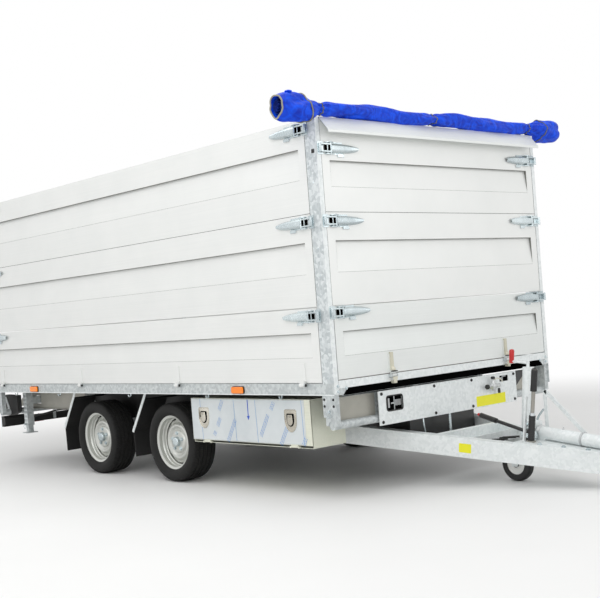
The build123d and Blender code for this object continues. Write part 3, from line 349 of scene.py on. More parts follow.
def around(steps: int) -> np.ndarray:
    """Angles spread evenly round a whole turn, in radians."""
    return np.linspace(0, 2 * math.pi, steps, endpoint=False)


def spread(x: float | np.ndarray, y: float | np.ndarray, z: float | np.ndarray) -> np.ndarray:
    """Grid of points from three arrays of coordinates that fill out to one shape."""
    return np.stack(np.broadcast_arrays(x, y, z), -1)


def turned(profile: Outline, axis: int, sides: int, outline: float | np.ndarray = 1.0) -> np.ndarray:
    """Grid of a profile turned about an axis through (0, 0, 0).

    Args:
        profile: (distance along the axis, radius) for each row.
        axis: 0, 1 or 2.
        sides: points round the axis.
        outline: a factor on the radius, or one for each side.

    Returns:
        Points of shape (rows, sides, 3).
    """
    profile = np.asarray(profile, float)
    radius = profile[:, None, 1] * outline
    others = [radius * np.cos(around(sides)), radius * np.sin(around(sides))]
    others.insert(axis, profile[:, None, 0])
    return spread(*others)


class Shape:
    """Collects grids of points and outlines, and makes them one mesh object."""

    def __init__(self, place: Place | None = None) -> None:
        """Starts an empty shape whose points are given in a place's own axes."""
        self.place = place
        self.points: list[np.ndarray] = []
        self.faces: list[list[int]] = []
        self.uvs: list[np.ndarray] = []
        self.count = 0

    def grid(self, surface: np.ndarray, wrap: bool = True, caps: bool = True) -> Shape:
        """Adds a surface given on a grid of two parameters.

        Args:
            surface: points of shape (rows, columns, 3); rows run along the piece.
            wrap: whether the last column meets the first, as round a tube.
            caps: whether the first and last rows are closed by a face each.

        Returns:
            The shape itself.
        """
        rows, columns = surface.shape[:2]
        flat = surface.reshape(-1, 3)
        if self.place is not None:
            flat = self.place.put(flat)
        r, c = np.meshgrid(np.arange(rows - 1), np.arange(columns if wrap else columns - 1),
                           indexing="ij")
        n = (c + 1) % columns
        quads = np.stack([r * columns + c, r * columns + n, (r + 1) * columns + n,
                          (r + 1) * columns + c], -1)
        self.faces += (quads.reshape(-1, 4) + self.count).tolist()
        if caps and wrap:
            self.faces.append((np.arange(columns)[::-1] + self.count).tolist())
            self.faces.append((np.arange(columns) + (rows - 1) * columns + self.count).tolist())
        self.points.append(flat)
        self.count += len(flat)
        return self

    def prism(self, outline: Outline, depth: tuple[float, float], axis: int = 1) -> Shape:
        """Adds an outline carried straight along one own axis.

        Args:
            outline: (n, 2) points on the two other axes, in their order.
            depth: where it starts and ends on the axis.
            axis: 0, 1 or 2 for along, out or up.

        Returns:
            The shape itself.
        """
        outline = np.asarray(outline, float)
        rows = [np.insert(outline, axis, d, axis=1) for d in depth]
        return self.grid(np.stack(rows))

    def slab(self, a: Vec, b: Vec) -> Shape:
        """Adds a rectangular slab between two corners in own axes."""
        outline = np.array([(a[0], a[2]), (b[0], a[2]), (b[0], b[2]), (a[0], b[2])])
        return self.prism(outline, (a[1], b[1]))

    def tube(self, path: Path, radius: float | Sequence[float], sides: int = 16) -> Shape:
        """Adds a round section carried along a path.

        Each ring lies square to the path's direction there; its first axis is the last ring's,
        less its part along the new direction, so that the tube doesn't twist.

        Args:
            path: (n, 3) points in own axes.
            radius: one radius, or one for each point.
            sides: points round the section.

        Returns:
            The shape itself.
        """
        path = np.asarray(path, float)
        radii = np.broadcast_to(np.asarray(radius, float), len(path))
        ways = np.gradient(path, axis=0)
        ways /= np.linalg.norm(ways, axis=1)[:, None] + 1e-12
        turn = around(sides)
        first = np.cross(ways[0], (0.0, 0.0, 1.0) if abs(ways[0][2]) < 0.9 else (1.0, 0.0, 0.0))
        rings = []
        for point, way, r in zip(path, ways, radii):
            first = first - way * (first @ way)
            first /= np.linalg.norm(first)
            second = np.cross(way, first)
            rings.append(point + r * (np.cos(turn)[:, None] * first + np.sin(turn)[:, None] * second))
        return self.grid(np.stack(rings))

    def lathe(self, profile: Outline, origin: Vec, axis: int, sides: int = 32) -> Shape:
        """Adds a profile of (distance along, radius) turned about an own axis through a point."""
        return self.grid(turned(profile, axis, sides) + np.array(origin))

    def disc(self, start: float, end: float, radius: float, origin: Vec, axis: int, sides: int = 16,
             hole: float = 0.0001) -> Shape:
        """Adds a plain disc, pin or ring from start to end along an own axis through a point."""
        return self.lathe([(start, hole), (start, radius), (end, radius), (end, hole)], origin, axis,
                          sides)

    def loop(self, points: np.ndarray, radius: float, sides: int = 8) -> Shape:
        """Adds a round section along a path that ends where it starts."""
        return self.tube(np.concatenate([points, points[:1]]), radius, sides)

    def make(self, name: str, finish: Finish, body: str, bevel: float = 0.0, smooth: float = 35.0,
             slot: str | None = None) -> bpy.types.Object:
        """Makes the object, closes its seams, turns its faces outward and lets it ride on a body.

        Args:
            name: the piece's name.
            finish: its finish.
            body: the frame's body that it moves with.
            bevel: width of its rounded edges in metres, or 0.
            smooth: largest angle between faces that look smooth, in degrees.
            slot: the record's material slot, or None; not used.

        Returns:
            The new object.
        """
        mesh = bpy.data.meshes.new(name)
        mesh.from_pydata(np.concatenate(self.points).tolist(), [], self.faces)
        tidy_mesh(mesh)
        mesh.shade_smooth()
        mesh.set_sharp_from_angle(angle=math.radians(smooth))
        piece = bpy.data.objects.new(name, mesh)
        bpy.context.scene.collection.objects.link(piece)
        mesh.materials.append(finish.build())
        if bevel:
            edge = piece.modifiers.new("rounded_edges", "BEVEL")
            edge.width = bevel
            edge.segments = 2
            edge.limit_method = "ANGLE"
            edge.harden_normals = False
        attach(piece, body)
        return piece


def thicken(piece: bpy.types.Object, thickness: float) -> None:
    """Gives an open surface its thickness in metres."""
    wall = piece.modifiers.new("wall", "SOLIDIFY")
    wall.thickness = thickness


def tidy_mesh(mesh: bpy.types.Mesh) -> None:
    """Merges doubled points and turns each closed shell's faces outward."""
    work = bmesh.new()
    work.from_mesh(mesh)
    bmesh.ops.remove_doubles(work, verts=work.verts, dist=1e-5)
    bmesh.ops.recalc_face_normals(work, faces=work.faces)
    work.to_mesh(mesh)
    work.free()


def rounded(width: float, height: float, radius: float,
            centre: tuple[float, float] = (0.0, 0.0)) -> np.ndarray:
    """Outline of a rectangle about a centre, with a quarter circle at each corner."""
    quarter = np.linspace(0, math.pi / 2, 5)
    arc = radius * np.stack([np.cos(quarter), np.sin(quarter)], -1)
    corners = []
    for k, (sx, sy) in enumerate(((1, 1), (-1, 1), (-1, -1), (1, -1))):
        turn = k * math.pi / 2
        spin = np.array([[math.cos(turn), math.sin(turn)], [-math.sin(turn), math.cos(turn)]])
        corners.append(arc @ spin + np.array([sx * (width / 2 - radius), sy * (height / 2 - radius)]))
    return np.concatenate(corners) + np.array(centre)


def smooth_path(points: list[Vec], steps: int = 12) -> np.ndarray:
    """Curve through a few points: between each two, a cubic whose end slopes are the chords'
    of the points on either side."""
    p = np.array(points, float)
    slopes = np.gradient(p, axis=0)
    t = np.linspace(0, 1, steps, endpoint=False)[:, None]
    spans = [(2 * t ** 3 - 3 * t ** 2 + 1) * a + (t ** 3 - 2 * t ** 2 + t) * ma
             + (-2 * t ** 3 + 3 * t ** 2) * b + (t ** 3 - t ** 2) * mb
             for a, b, ma, mb in zip(p, p[1:], slopes, slopes[1:])]
    return np.concatenate([*spans, p[-1:]])


def dress(frame: dict, finish: Finish, *starts: str) -> None:
    """Gives every node whose name starts with one of these words a finish."""
    for name, node in frame["nodes"].items():
        if name.startswith(starts):
            node.data.materials.clear()
            node.data.materials.append(finish.build())


def hex_bolt(shape: Shape, centre: Vec, axis: int, side: float, size: float = 0.013) -> None:
    """Adds a bolt: washer, six-sided head with a rounded top, standing out along an own axis."""
    shape.lathe([(0, size * 0.95), (side * size * 0.14, size * 0.95), (side * size * 0.15, 0.0005)],
                centre, axis, 20)
    hexagon = size * 0.62 / np.cos((around(24) % (math.pi / 3)) - math.pi / 6)
    heights = np.array([0.14, 0.62, 0.7]) * size * side
    head = turned(np.stack([heights, (1.0, 1.0, 0.86)], -1), axis, 24, hexagon)
    shape.grid(head + np.array(centre))


@dataclass
class Studio:
    """Floor, lamps and the camera at the photograph's viewing point."""

    eye: Vec = (5.5751, -5.0005, 1.0613)
    heading: float = 137.53
    pitch: float = -0.607
    roll: float = -4.313
    focal_px: float = 1074.733
    centre_px: tuple[float, float] = (311.02, 322.81)
    image_px: tuple[int, int] = (600, 598)
    sensor: float = 36.0

    def camera(self) -> None:
        """Camera from its place, its heading from +X, its pitch and its roll, in degrees."""
        h, p, r = (math.radians(a) for a in (self.heading, self.pitch, self.roll))
        ahead = np.array([math.cos(p) * math.cos(h), math.cos(p) * math.sin(h), math.sin(p)])
        flat_right = np.array([math.sin(h), -math.cos(h), 0.0])
        flat_up = np.cross(flat_right, ahead)
        right = math.cos(r) * flat_right + math.sin(r) * flat_up
        up = np.cross(right, ahead)
        data = bpy.data.cameras.new("camera")
        data.sensor_width = self.sensor
        data.lens = self.focal_px / self.image_px[0] * self.sensor
        data.shift_x = -(self.centre_px[0] - self.image_px[0] / 2) / self.image_px[0]
        data.shift_y = (self.centre_px[1] - self.image_px[1] / 2) / self.image_px[0]
        data.clip_end = 100
        camera = bpy.data.objects.new("camera", data)
        matrix = Matrix(np.stack([right, up, -ahead], 1).tolist()).to_4x4()
        matrix.translation = self.eye
        camera.matrix_world = matrix
        bpy.context.scene.collection.objects.link(camera)
        bpy.context.scene.camera = camera

    def floor(self) -> None:
        """Pale floor, wide enough to run out of every view."""
        mesh = bpy.data.meshes.new("studio_floor")
        half = 60.0
        mesh.from_pydata([(-half, -half, 0), (half, -half, 0), (half, half, 0), (-half, half, 0)], [],
                         [(0, 1, 2, 3)])
        floor = bpy.data.objects.new("studio_floor", mesh)
        bpy.context.scene.collection.objects.link(floor)
        made = bpy.data.materials.new("studio_floor_paint")
        made.use_nodes = True
        tree = made.node_tree
        shader = tree.nodes["Principled BSDF"]
        shader.inputs["Roughness"].default_value = 0.6
        here = add(tree, "ShaderNodeTexCoord").outputs["Object"]
        cloud = add(tree, "ShaderNodeTexNoise", {"Scale": 0.8, "Detail": 3.0}, {"Vector": here})
        tone = add(tree, "ShaderNodeMix", {"data_type": "RGBA", 6: linear("#EAEAE9"),
                                           7: linear("#F1F1F0")}, {0: cloud.outputs["Fac"]})
        tree.links.new(tone.outputs[2], shader.inputs["Base Color"])
        reach = add(tree, "ShaderNodeVectorMath", {"operation": "LENGTH"}, {0: here})
        fade = add(tree, "ShaderNodeMapRange", {"From Min": 3.4, "From Max": 7.5,
                                                "interpolation_type": "SMOOTHSTEP"},
                   {"Value": reach.outputs["Value"]})
        white = add(tree, "ShaderNodeEmission", {"Color": linear("#FFFFFF"), "Strength": 1.0})
        mixed = add(tree, "ShaderNodeMixShader", {}, {0: fade.outputs[0], 1: shader.outputs[0],
                                                      2: white.outputs[0]})
        tree.links.new(mixed.outputs[0], tree.nodes["Material Output"].inputs["Surface"])
        mesh.materials.append(made)
        floor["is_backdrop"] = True

    def lamps(self) -> None:
        """Softboxes overhead, off the front right corner and ahead of the coupling."""
        for name, place, aim, size, power in (
                ("overhead", (0.0, -1.5, 5.2), (0.0, 0.0, 0.0), 6.0, 150.0),
                ("front_side", (4.5, -5.5, 3.4), (-0.5, 0.0, 0.9), 4.0, 95.0),
                ("nose", (6.5, 2.5, 3.0), (1.0, 0.0, 0.9), 3.5, 42.0)):
            data = bpy.data.lights.new(name, "AREA")
            data.size = size
            data.energy = power
            lamp = bpy.data.objects.new(name, data)
            back = np.array(place) - np.array(aim)
            back /= np.linalg.norm(back)
            side = np.cross((0.0, 1.0, 0.0) if abs(back[2]) > 0.95 else (0.0, 0.0, 1.0), back)
            side /= np.linalg.norm(side)
            matrix = Matrix(np.stack([side, np.cross(back, side), back], 1).tolist()).to_4x4()
            matrix.translation = place
            lamp.matrix_world = matrix
            bpy.context.scene.collection.objects.link(lamp)

    def world(self) -> None:
        """White where the camera, a mirror or glass sees it, and softer as a lamp."""
        world = bpy.data.worlds.new("surround")
        world.use_nodes = True
        bpy.context.scene.world = world
        tree = world.node_tree
        tree.nodes.clear()
        rays = add(tree, "ShaderNodeLightPath")
        seen = add(tree, "ShaderNodeMath", {"operation": "MAXIMUM"},
                   {0: rays.outputs["Is Camera Ray"], 1: rays.outputs["Is Glossy Ray"]})
        seen = add(tree, "ShaderNodeMath", {"operation": "MAXIMUM"},
                   {0: seen.outputs[0], 1: rays.outputs["Is Transmission Ray"]})
        soft = add(tree, "ShaderNodeBackground", {"Color": linear("#FFFFFF"), "Strength": 0.62})
        white = add(tree, "ShaderNodeBackground", {"Color": linear("#FFFFFF"), "Strength": 1.0})
        mixed = add(tree, "ShaderNodeMixShader", {}, {0: seen.outputs[0], 1: soft.outputs[0],
                                                      2: white.outputs[0]})
        add(tree, "ShaderNodeOutputWorld", {}, {"Surface": mixed.outputs[0]})

    def build(self) -> None:
        """Sets the studio up."""
        self.camera()
        self.floor()
        self.lamps()
        self.world()
        bpy.context.scene.view_settings.view_transform = "Standard"


@dataclass
class Bodywork:
    """Finishes of the frame's own nodes."""

    frame: dict

    def build(self) -> None:
        """Dresses every node by what it is made of; a later line holds over an earlier one."""
        for finish, starts in (
                (BOARD_SIDE, ("side_board", "boards_")),
                (BOARD_END, ("front_board", "tail_flap", "front_cap")),
                (GALVANISED, ("bed_", "ram_socket", "board_hinges", "chassis_", "tipping_tubes",
                              "axle_", "prop_leg")),
                (ZINC_PLATE, ("chassis_front_plate", "drawbar", "overrun_housing",
                              "jockey_outer_tube", "jockey_inner_tube")),
                (POST_ZINC, ("corner_posts",)),
                (DECK, ("bed_floor",)),
                (COVER_CLOTH, ("cover_roll",)),
                (STAINLESS, ("toolbox",)),
                (SMOOTH_RUBBER, ("bellows", "jockey_wheel")),
                (CAST_STEEL, ("coupling_head",)),
                (BLACK_PAINT, ("handbrake_lever", "hydraulic_unit", "cylinder_barrel")),
                (DRAWN_TUBE, ("pump_lever",)),
                (BLACK_PLASTIC, ("mudguard", "rear_light_bar")),
                (WHEEL_PAINT, ("rim_",)),
                (RUBBER, ("tyre_",)),
                (CHROME, ("cylinder_stage",))):
            dress(self.frame, finish, *starts)


@dataclass
class BoardLatches:
    """Lever latches that hold the boards to the corner posts."""

    length: float = 0.30
    catch_end: float = 0.048
    lever_root: float = 0.088

    def catch(self, place: Place) -> Shape:
        """The part on the post: a foot plate with an upturned lip."""
        shape = Shape(place)
        shape.prism(rounded(0.044, 0.072, 0.006, (0.022, 0.0)), (0.0, 0.004))
        return shape.prism([(0.008, 0.004), (0.015, 0.004), (0.016, 0.02), (0.011, 0.026),
                            (0.004, 0.024), (0.006, 0.018)], (-0.024, 0.024), axis=2)

    def plate(self, place: Place) -> Shape:
        """Foot plate on the board, its ears and the hinge pin."""
        shape = Shape(place)
        shape.prism(rounded(0.138, 0.07, 0.008, (self.catch_end + 0.074, 0.0)), (0.0, 0.0035))
        ear = ((0.058, 0.0035), (0.118, 0.0035), (0.112, 0.018), (0.096, 0.026), (0.078, 0.026),
               (0.064, 0.016))
        for w in (-0.034, 0.030):
            shape.prism(ear, (w, w + 0.004), axis=2)
        shape.disc(-0.037, 0.037, 0.0045, (0.088, 0.019, 0.0), 2, 14)
        shape.disc(-0.03, 0.03, 0.0035, (0.068, 0.012, 0.0), 2, 12)
        return shape.slab((0.150, 0.0035, -0.047), (0.196, 0.007, -0.03))

    def hooks(self, place: Place) -> Shape:
        """Two flat links from the lever's pin to the catch's lip, with a bar across their ends."""
        shape = Shape(place)
        for w in (-0.024, 0.016):
            shape.slab((0.004, 0.016, w), (0.095, 0.021, w + 0.008))
        return shape.disc(-0.025, 0.025, 0.0045, (0.003, 0.019, 0.0), 2, 12)

    def lever(self, place: Place) -> Shape:
        """Pressed lever: along its length the half width falls as a quarter ellipse to the tip, and
        each section is a flat-topped arch, y = height times (1 - s to the fourth power)."""
        shape = Shape(place)
        t = np.linspace(0, 1, 22)
        s = np.linspace(-1, 1, 17)
        wide = 0.028 * np.sqrt(np.clip(1 - (0.93 * t) ** 2.4, 0, 1))
        tall = 0.026 - 0.010 * t + 0.010 * np.clip(t - 0.75, 0, 1)
        lift = 0.004 + 0.010 * np.clip(t - 0.6, 0, 1) ** 1.5
        x = self.lever_root + t * (self.length - self.lever_root)
        top = spread(x[:, None], lift[:, None] + (tall - 0.004)[:, None] * (1 - np.abs(s) ** 4),
                     wide[:, None] * s)
        under = top[:, ::-1].copy()
        under[..., 1] = lift[:, None] + (tall - 0.0075)[:, None] * (1 - np.abs(s[::-1]) ** 4) * 0.93
        under[..., 2] *= 0.88
        return shape.grid(np.concatenate([top, under], axis=1))

    def fit(self, name: str, place: Place, post_body: str, board_body: str) -> None:
        """Builds one latch.

        Args:
            name: where it sits.
            place: origin at its corner end on the boards' face.
            post_body: body that carries the catch.
            board_body: body that carries the lever.
        """
        self.catch(place).make(f"latch_catch_{name}", ZINC_BRIGHT, post_body, 0.0008)
        self.plate(place).make(f"latch_plate_{name}", ZINC_BRIGHT, board_body, 0.0008)
        self.hooks(place).make(f"latch_hooks_{name}", ZINC_BRIGHT, board_body, 0.0012)
        self.lever(place).make(f"latch_lever_{name}", ZINC_BRIGHT, board_body)
        # Black slab under the lever: painted shade between the lever and its foot plate
        dark = Shape(place).slab((0.05, 0.0036, -0.022), (0.105, 0.006, 0.022))
        dark.make(f"latch_painted_shade_{name}", SHADOW, board_body)

    def build(self) -> None:
        """Three latches at each end of both side walls and of the front wall, two on the rear."""
        side_heights = {"lower": 1.033, "middle": 1.549, "upper": 2.06}
        end_heights = {"lower": 1.045, "middle": 1.547, "upper": 1.945}
        for side, sign in SIDES.items():
            for end, corner, way in (("front", FRONT - 0.06, -1.0), ("rear", REAR + 0.06, 1.0)):
                for board, height in side_heights.items():
                    body = f"drop_board_{side}" if board == "lower" else "bed"
                    place = Place((corner, sign * HALF, height), (way, 0, 0), (0, sign, 0))
                    self.fit(f"{side}_{end}_{board}", place, "bed", body)
            for end, face, out in ENDS:
                for board, height in end_heights.items():
                    if end == "rear" and board == "lower":
                        continue
                    body = "drop_board_front" if board == "lower" else "bed"
                    place = Place((face, sign * (HALF - 0.006), height), (0, -sign, 0), (out, 0, 0))
                    self.fit(f"{end}wall_{side}_{board}", place, "bed", body)


@dataclass
class RolledCover:
    """The rolled and tied cover on the front wall: a slim twisted roll whose ends swell."""

    x: float = FRONT - 0.005
    z: float = 2.1495
    half: float = 1.27
    radius: float = 0.043
    lift: float = 0.009
    ties: tuple[float, ...] = (-0.955, -0.02, 0.93)
    end_ties: dict[str, float] = field(default_factory=lambda: {"near": -1.075, "far": 1.06})
    mouth_depth: float = 0.10
    cloth: float = 0.0012
    outer_flat: tuple[float, float] = (2.66, 0.34)
    inner_flat: tuple[float, float] = (0.08, 0.48)
    # Centre, reach and height of each swelling
    bulges: tuple[tuple[float, ...], ...] = ((-1.135, 0.125, 0.033), (1.135, 0.12, 0.027))
    # Place along and across the roll, height above its axis, length and half width of each stub
    stubs: tuple[tuple[float, ...], ...] = ((-1.165, 0.008, 0.052, 0.05, 0.020),
                                            (-1.118, -0.010, 0.05, 0.046, 0.022),
                                            (1.155, 0.0, 0.05, 0.035, 0.02),
                                            (-0.99, 0.004, 0.03, 0.026, 0.018))

    def skin(self, along: np.ndarray, turn: np.ndarray) -> np.ndarray:
        """Outer surface: a circle whose radius swells at both ends, is pinched by each tie, and
        carries two spiral folds and fine pleats that fade away from the ties.

        Args:
            along: places along the roll.
            turn: angles round it.

        Returns:
            Points on the grid of both.
        """
        y = along[:, None]
        a = turn[None, :]
        bulge = np.zeros_like(y)
        for centre, reach, swell in self.bulges:
            bulge = bulge + swell * np.exp(-((y - centre) / reach) ** 4)
        radius = self.radius + bulge
        twist = 2 * a - 7.5 * y
        fold = (0.10 * np.cos(twist) + 0.07 * np.cos(3 * a + 11 * y + 1.3)
                + 0.04 * np.sin(5 * a - 23 * y))
        fold = fold + 0.016 * np.sin(9 * a + 31 * y + 2 * np.sin(17 * y))
        pinch = np.zeros_like(y)
        for tie in self.ties:
            pinch = pinch + 0.30 * np.exp(-((y - tie) / 0.035) ** 2)
            fold = fold + 0.09 * np.cos(9 * a + 40 * (y - tie)) * np.exp(-(np.abs(y - tie) / 0.07))
        ridge = 0.10 * np.abs(np.sin(a * 1.5 - 9 * y)) ** 6
        r = radius * (1 - pinch + fold - ridge)
        wander_x = 0.006 * np.sin(5.2 * y + 0.6)
        wander_z = 0.004 * np.sin(7.1 * y)
        raised = self.lift * np.clip(1 - bulge / 0.02, 0, 1)
        return spread(self.x + wander_x + r * np.cos(a), y, self.z + wander_z + raised + r * np.sin(a))

    def build(self) -> None:
        """Outer skin, the open mouth with its hem and inner turns, ties and knots."""
        outer = self.skin(np.linspace(-self.half + 0.02, self.half - 0.03, 420), around(96))
        mouth = self.rings(outer[0], ((0.6, self.mouth_depth), (0.8, 0.6 * self.mouth_depth),
                                      (0.86, 0.02), (0.9, 0.002), (0.96, -0.004)))
        tail = self.rings(outer[-1], ((0.9, 0.008), (0.66, 0.016), (0.35, 0.02), (0.08, 0.0205)))
        shape = Shape()
        shape.grid(np.concatenate([mouth, outer, tail]), caps=False)
        roll = shape.make("cover_cloth", COVER_CLOTH, "bed", slot="cover_fabric")
        thicken(roll, self.cloth)
        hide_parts("cover_roll")
        self.inner_turns()
        hem = self.rings(outer[0], ((0.95, -0.003 * 0.95),))[0]
        edge = Shape().loop(hem, 0.0045).make("cover_hem", HEM_CLOTH, "bed")
        for i, tie in enumerate(self.ties):
            self.tie(f"cover_tie_{i + 1}", tie, 0.0035)
        for end, y in self.end_ties.items():
            self.tie(f"cover_tie_{end}", y, 0.004)
        self.knots()

    def rings(self, rim: np.ndarray, steps: Sequence[tuple[float, float]]) -> np.ndarray:
        """Copies of an end's rim, each with its scale about the rim's middle and its shift in Y."""
        middle = rim.mean(0)
        return np.stack([middle + (rim - middle) * scale + np.array([0, shift, 0])
                         for scale, shift in steps])

    def inner_turns(self) -> None:
        """Spiral of the inner turns, seen in the mouth: its radius falls evenly with its angle."""
        turn = np.linspace(0, 2 * math.pi * 2.6, 120)
        rows = np.linspace(-self.half + 0.03, -self.half + 0.11, 6)
        r = 0.046 - 0.034 * turn / turn[-1] + 0.002 * np.sin(5 * turn)
        points = spread(self.x + 0.006 * math.sin(5.2 * -1.25 + 0.6) + r * np.cos(turn), rows[:, None],
                        self.z + 0.004 * math.sin(7.1 * -1.25) + r * np.sin(turn))
        spiral = Shape().grid(points, wrap=False, caps=False)
        inner = spiral.make("cover_inner_turns", COVER_INSIDE, "bed")
        thicken(inner, self.cloth)

    def tie(self, name: str, y: float, radius: float) -> None:
        """A cord drawn tight round the roll, lying in the pinch that it makes."""
        turn = np.linspace(0, 2 * math.pi, 48)
        ring = self.skin(np.array([y]), turn)[0]
        away = ring - ring.mean(0)
        reach = np.linalg.norm(away, axis=1)[:, None]
        ring = ring.mean(0) + away * (1 + radius / reach * 0.6)
        ring[:, 1] += 0.012 * np.cos(turn)
        Shape().tube(ring, radius, 8).make(name, TIE_CORD, "bed")

    def knots(self) -> None:
        """Gathered corners of the cover that stand up near its ends: pleated stubs."""
        for i, (y, x, z, tall, wide) in enumerate(self.stubs):
            t = np.linspace(0, 1, 14)[:, None]
            turn = around(28)
            r = wide * (0.62 + 0.5 * np.cos(2.4 * math.pi * (t - 0.42)) ** 2 * (0.4 + 0.6 * t))
            r[-1] *= 0.35
            r = r * (1 + 0.22 * np.cos(5 * turn + 2.0 * t) + 0.1 * np.cos(11 * turn))
            points = spread(self.x + x + r * np.cos(turn) + 0.008 * t,
                            y + r * np.sin(turn) * 0.8 - 0.01 * t, self.z + z - 0.012 + tall * t)
            Shape().grid(points).make(f"cover_knot_{i + 1}", COVER_CLOTH, "bed")


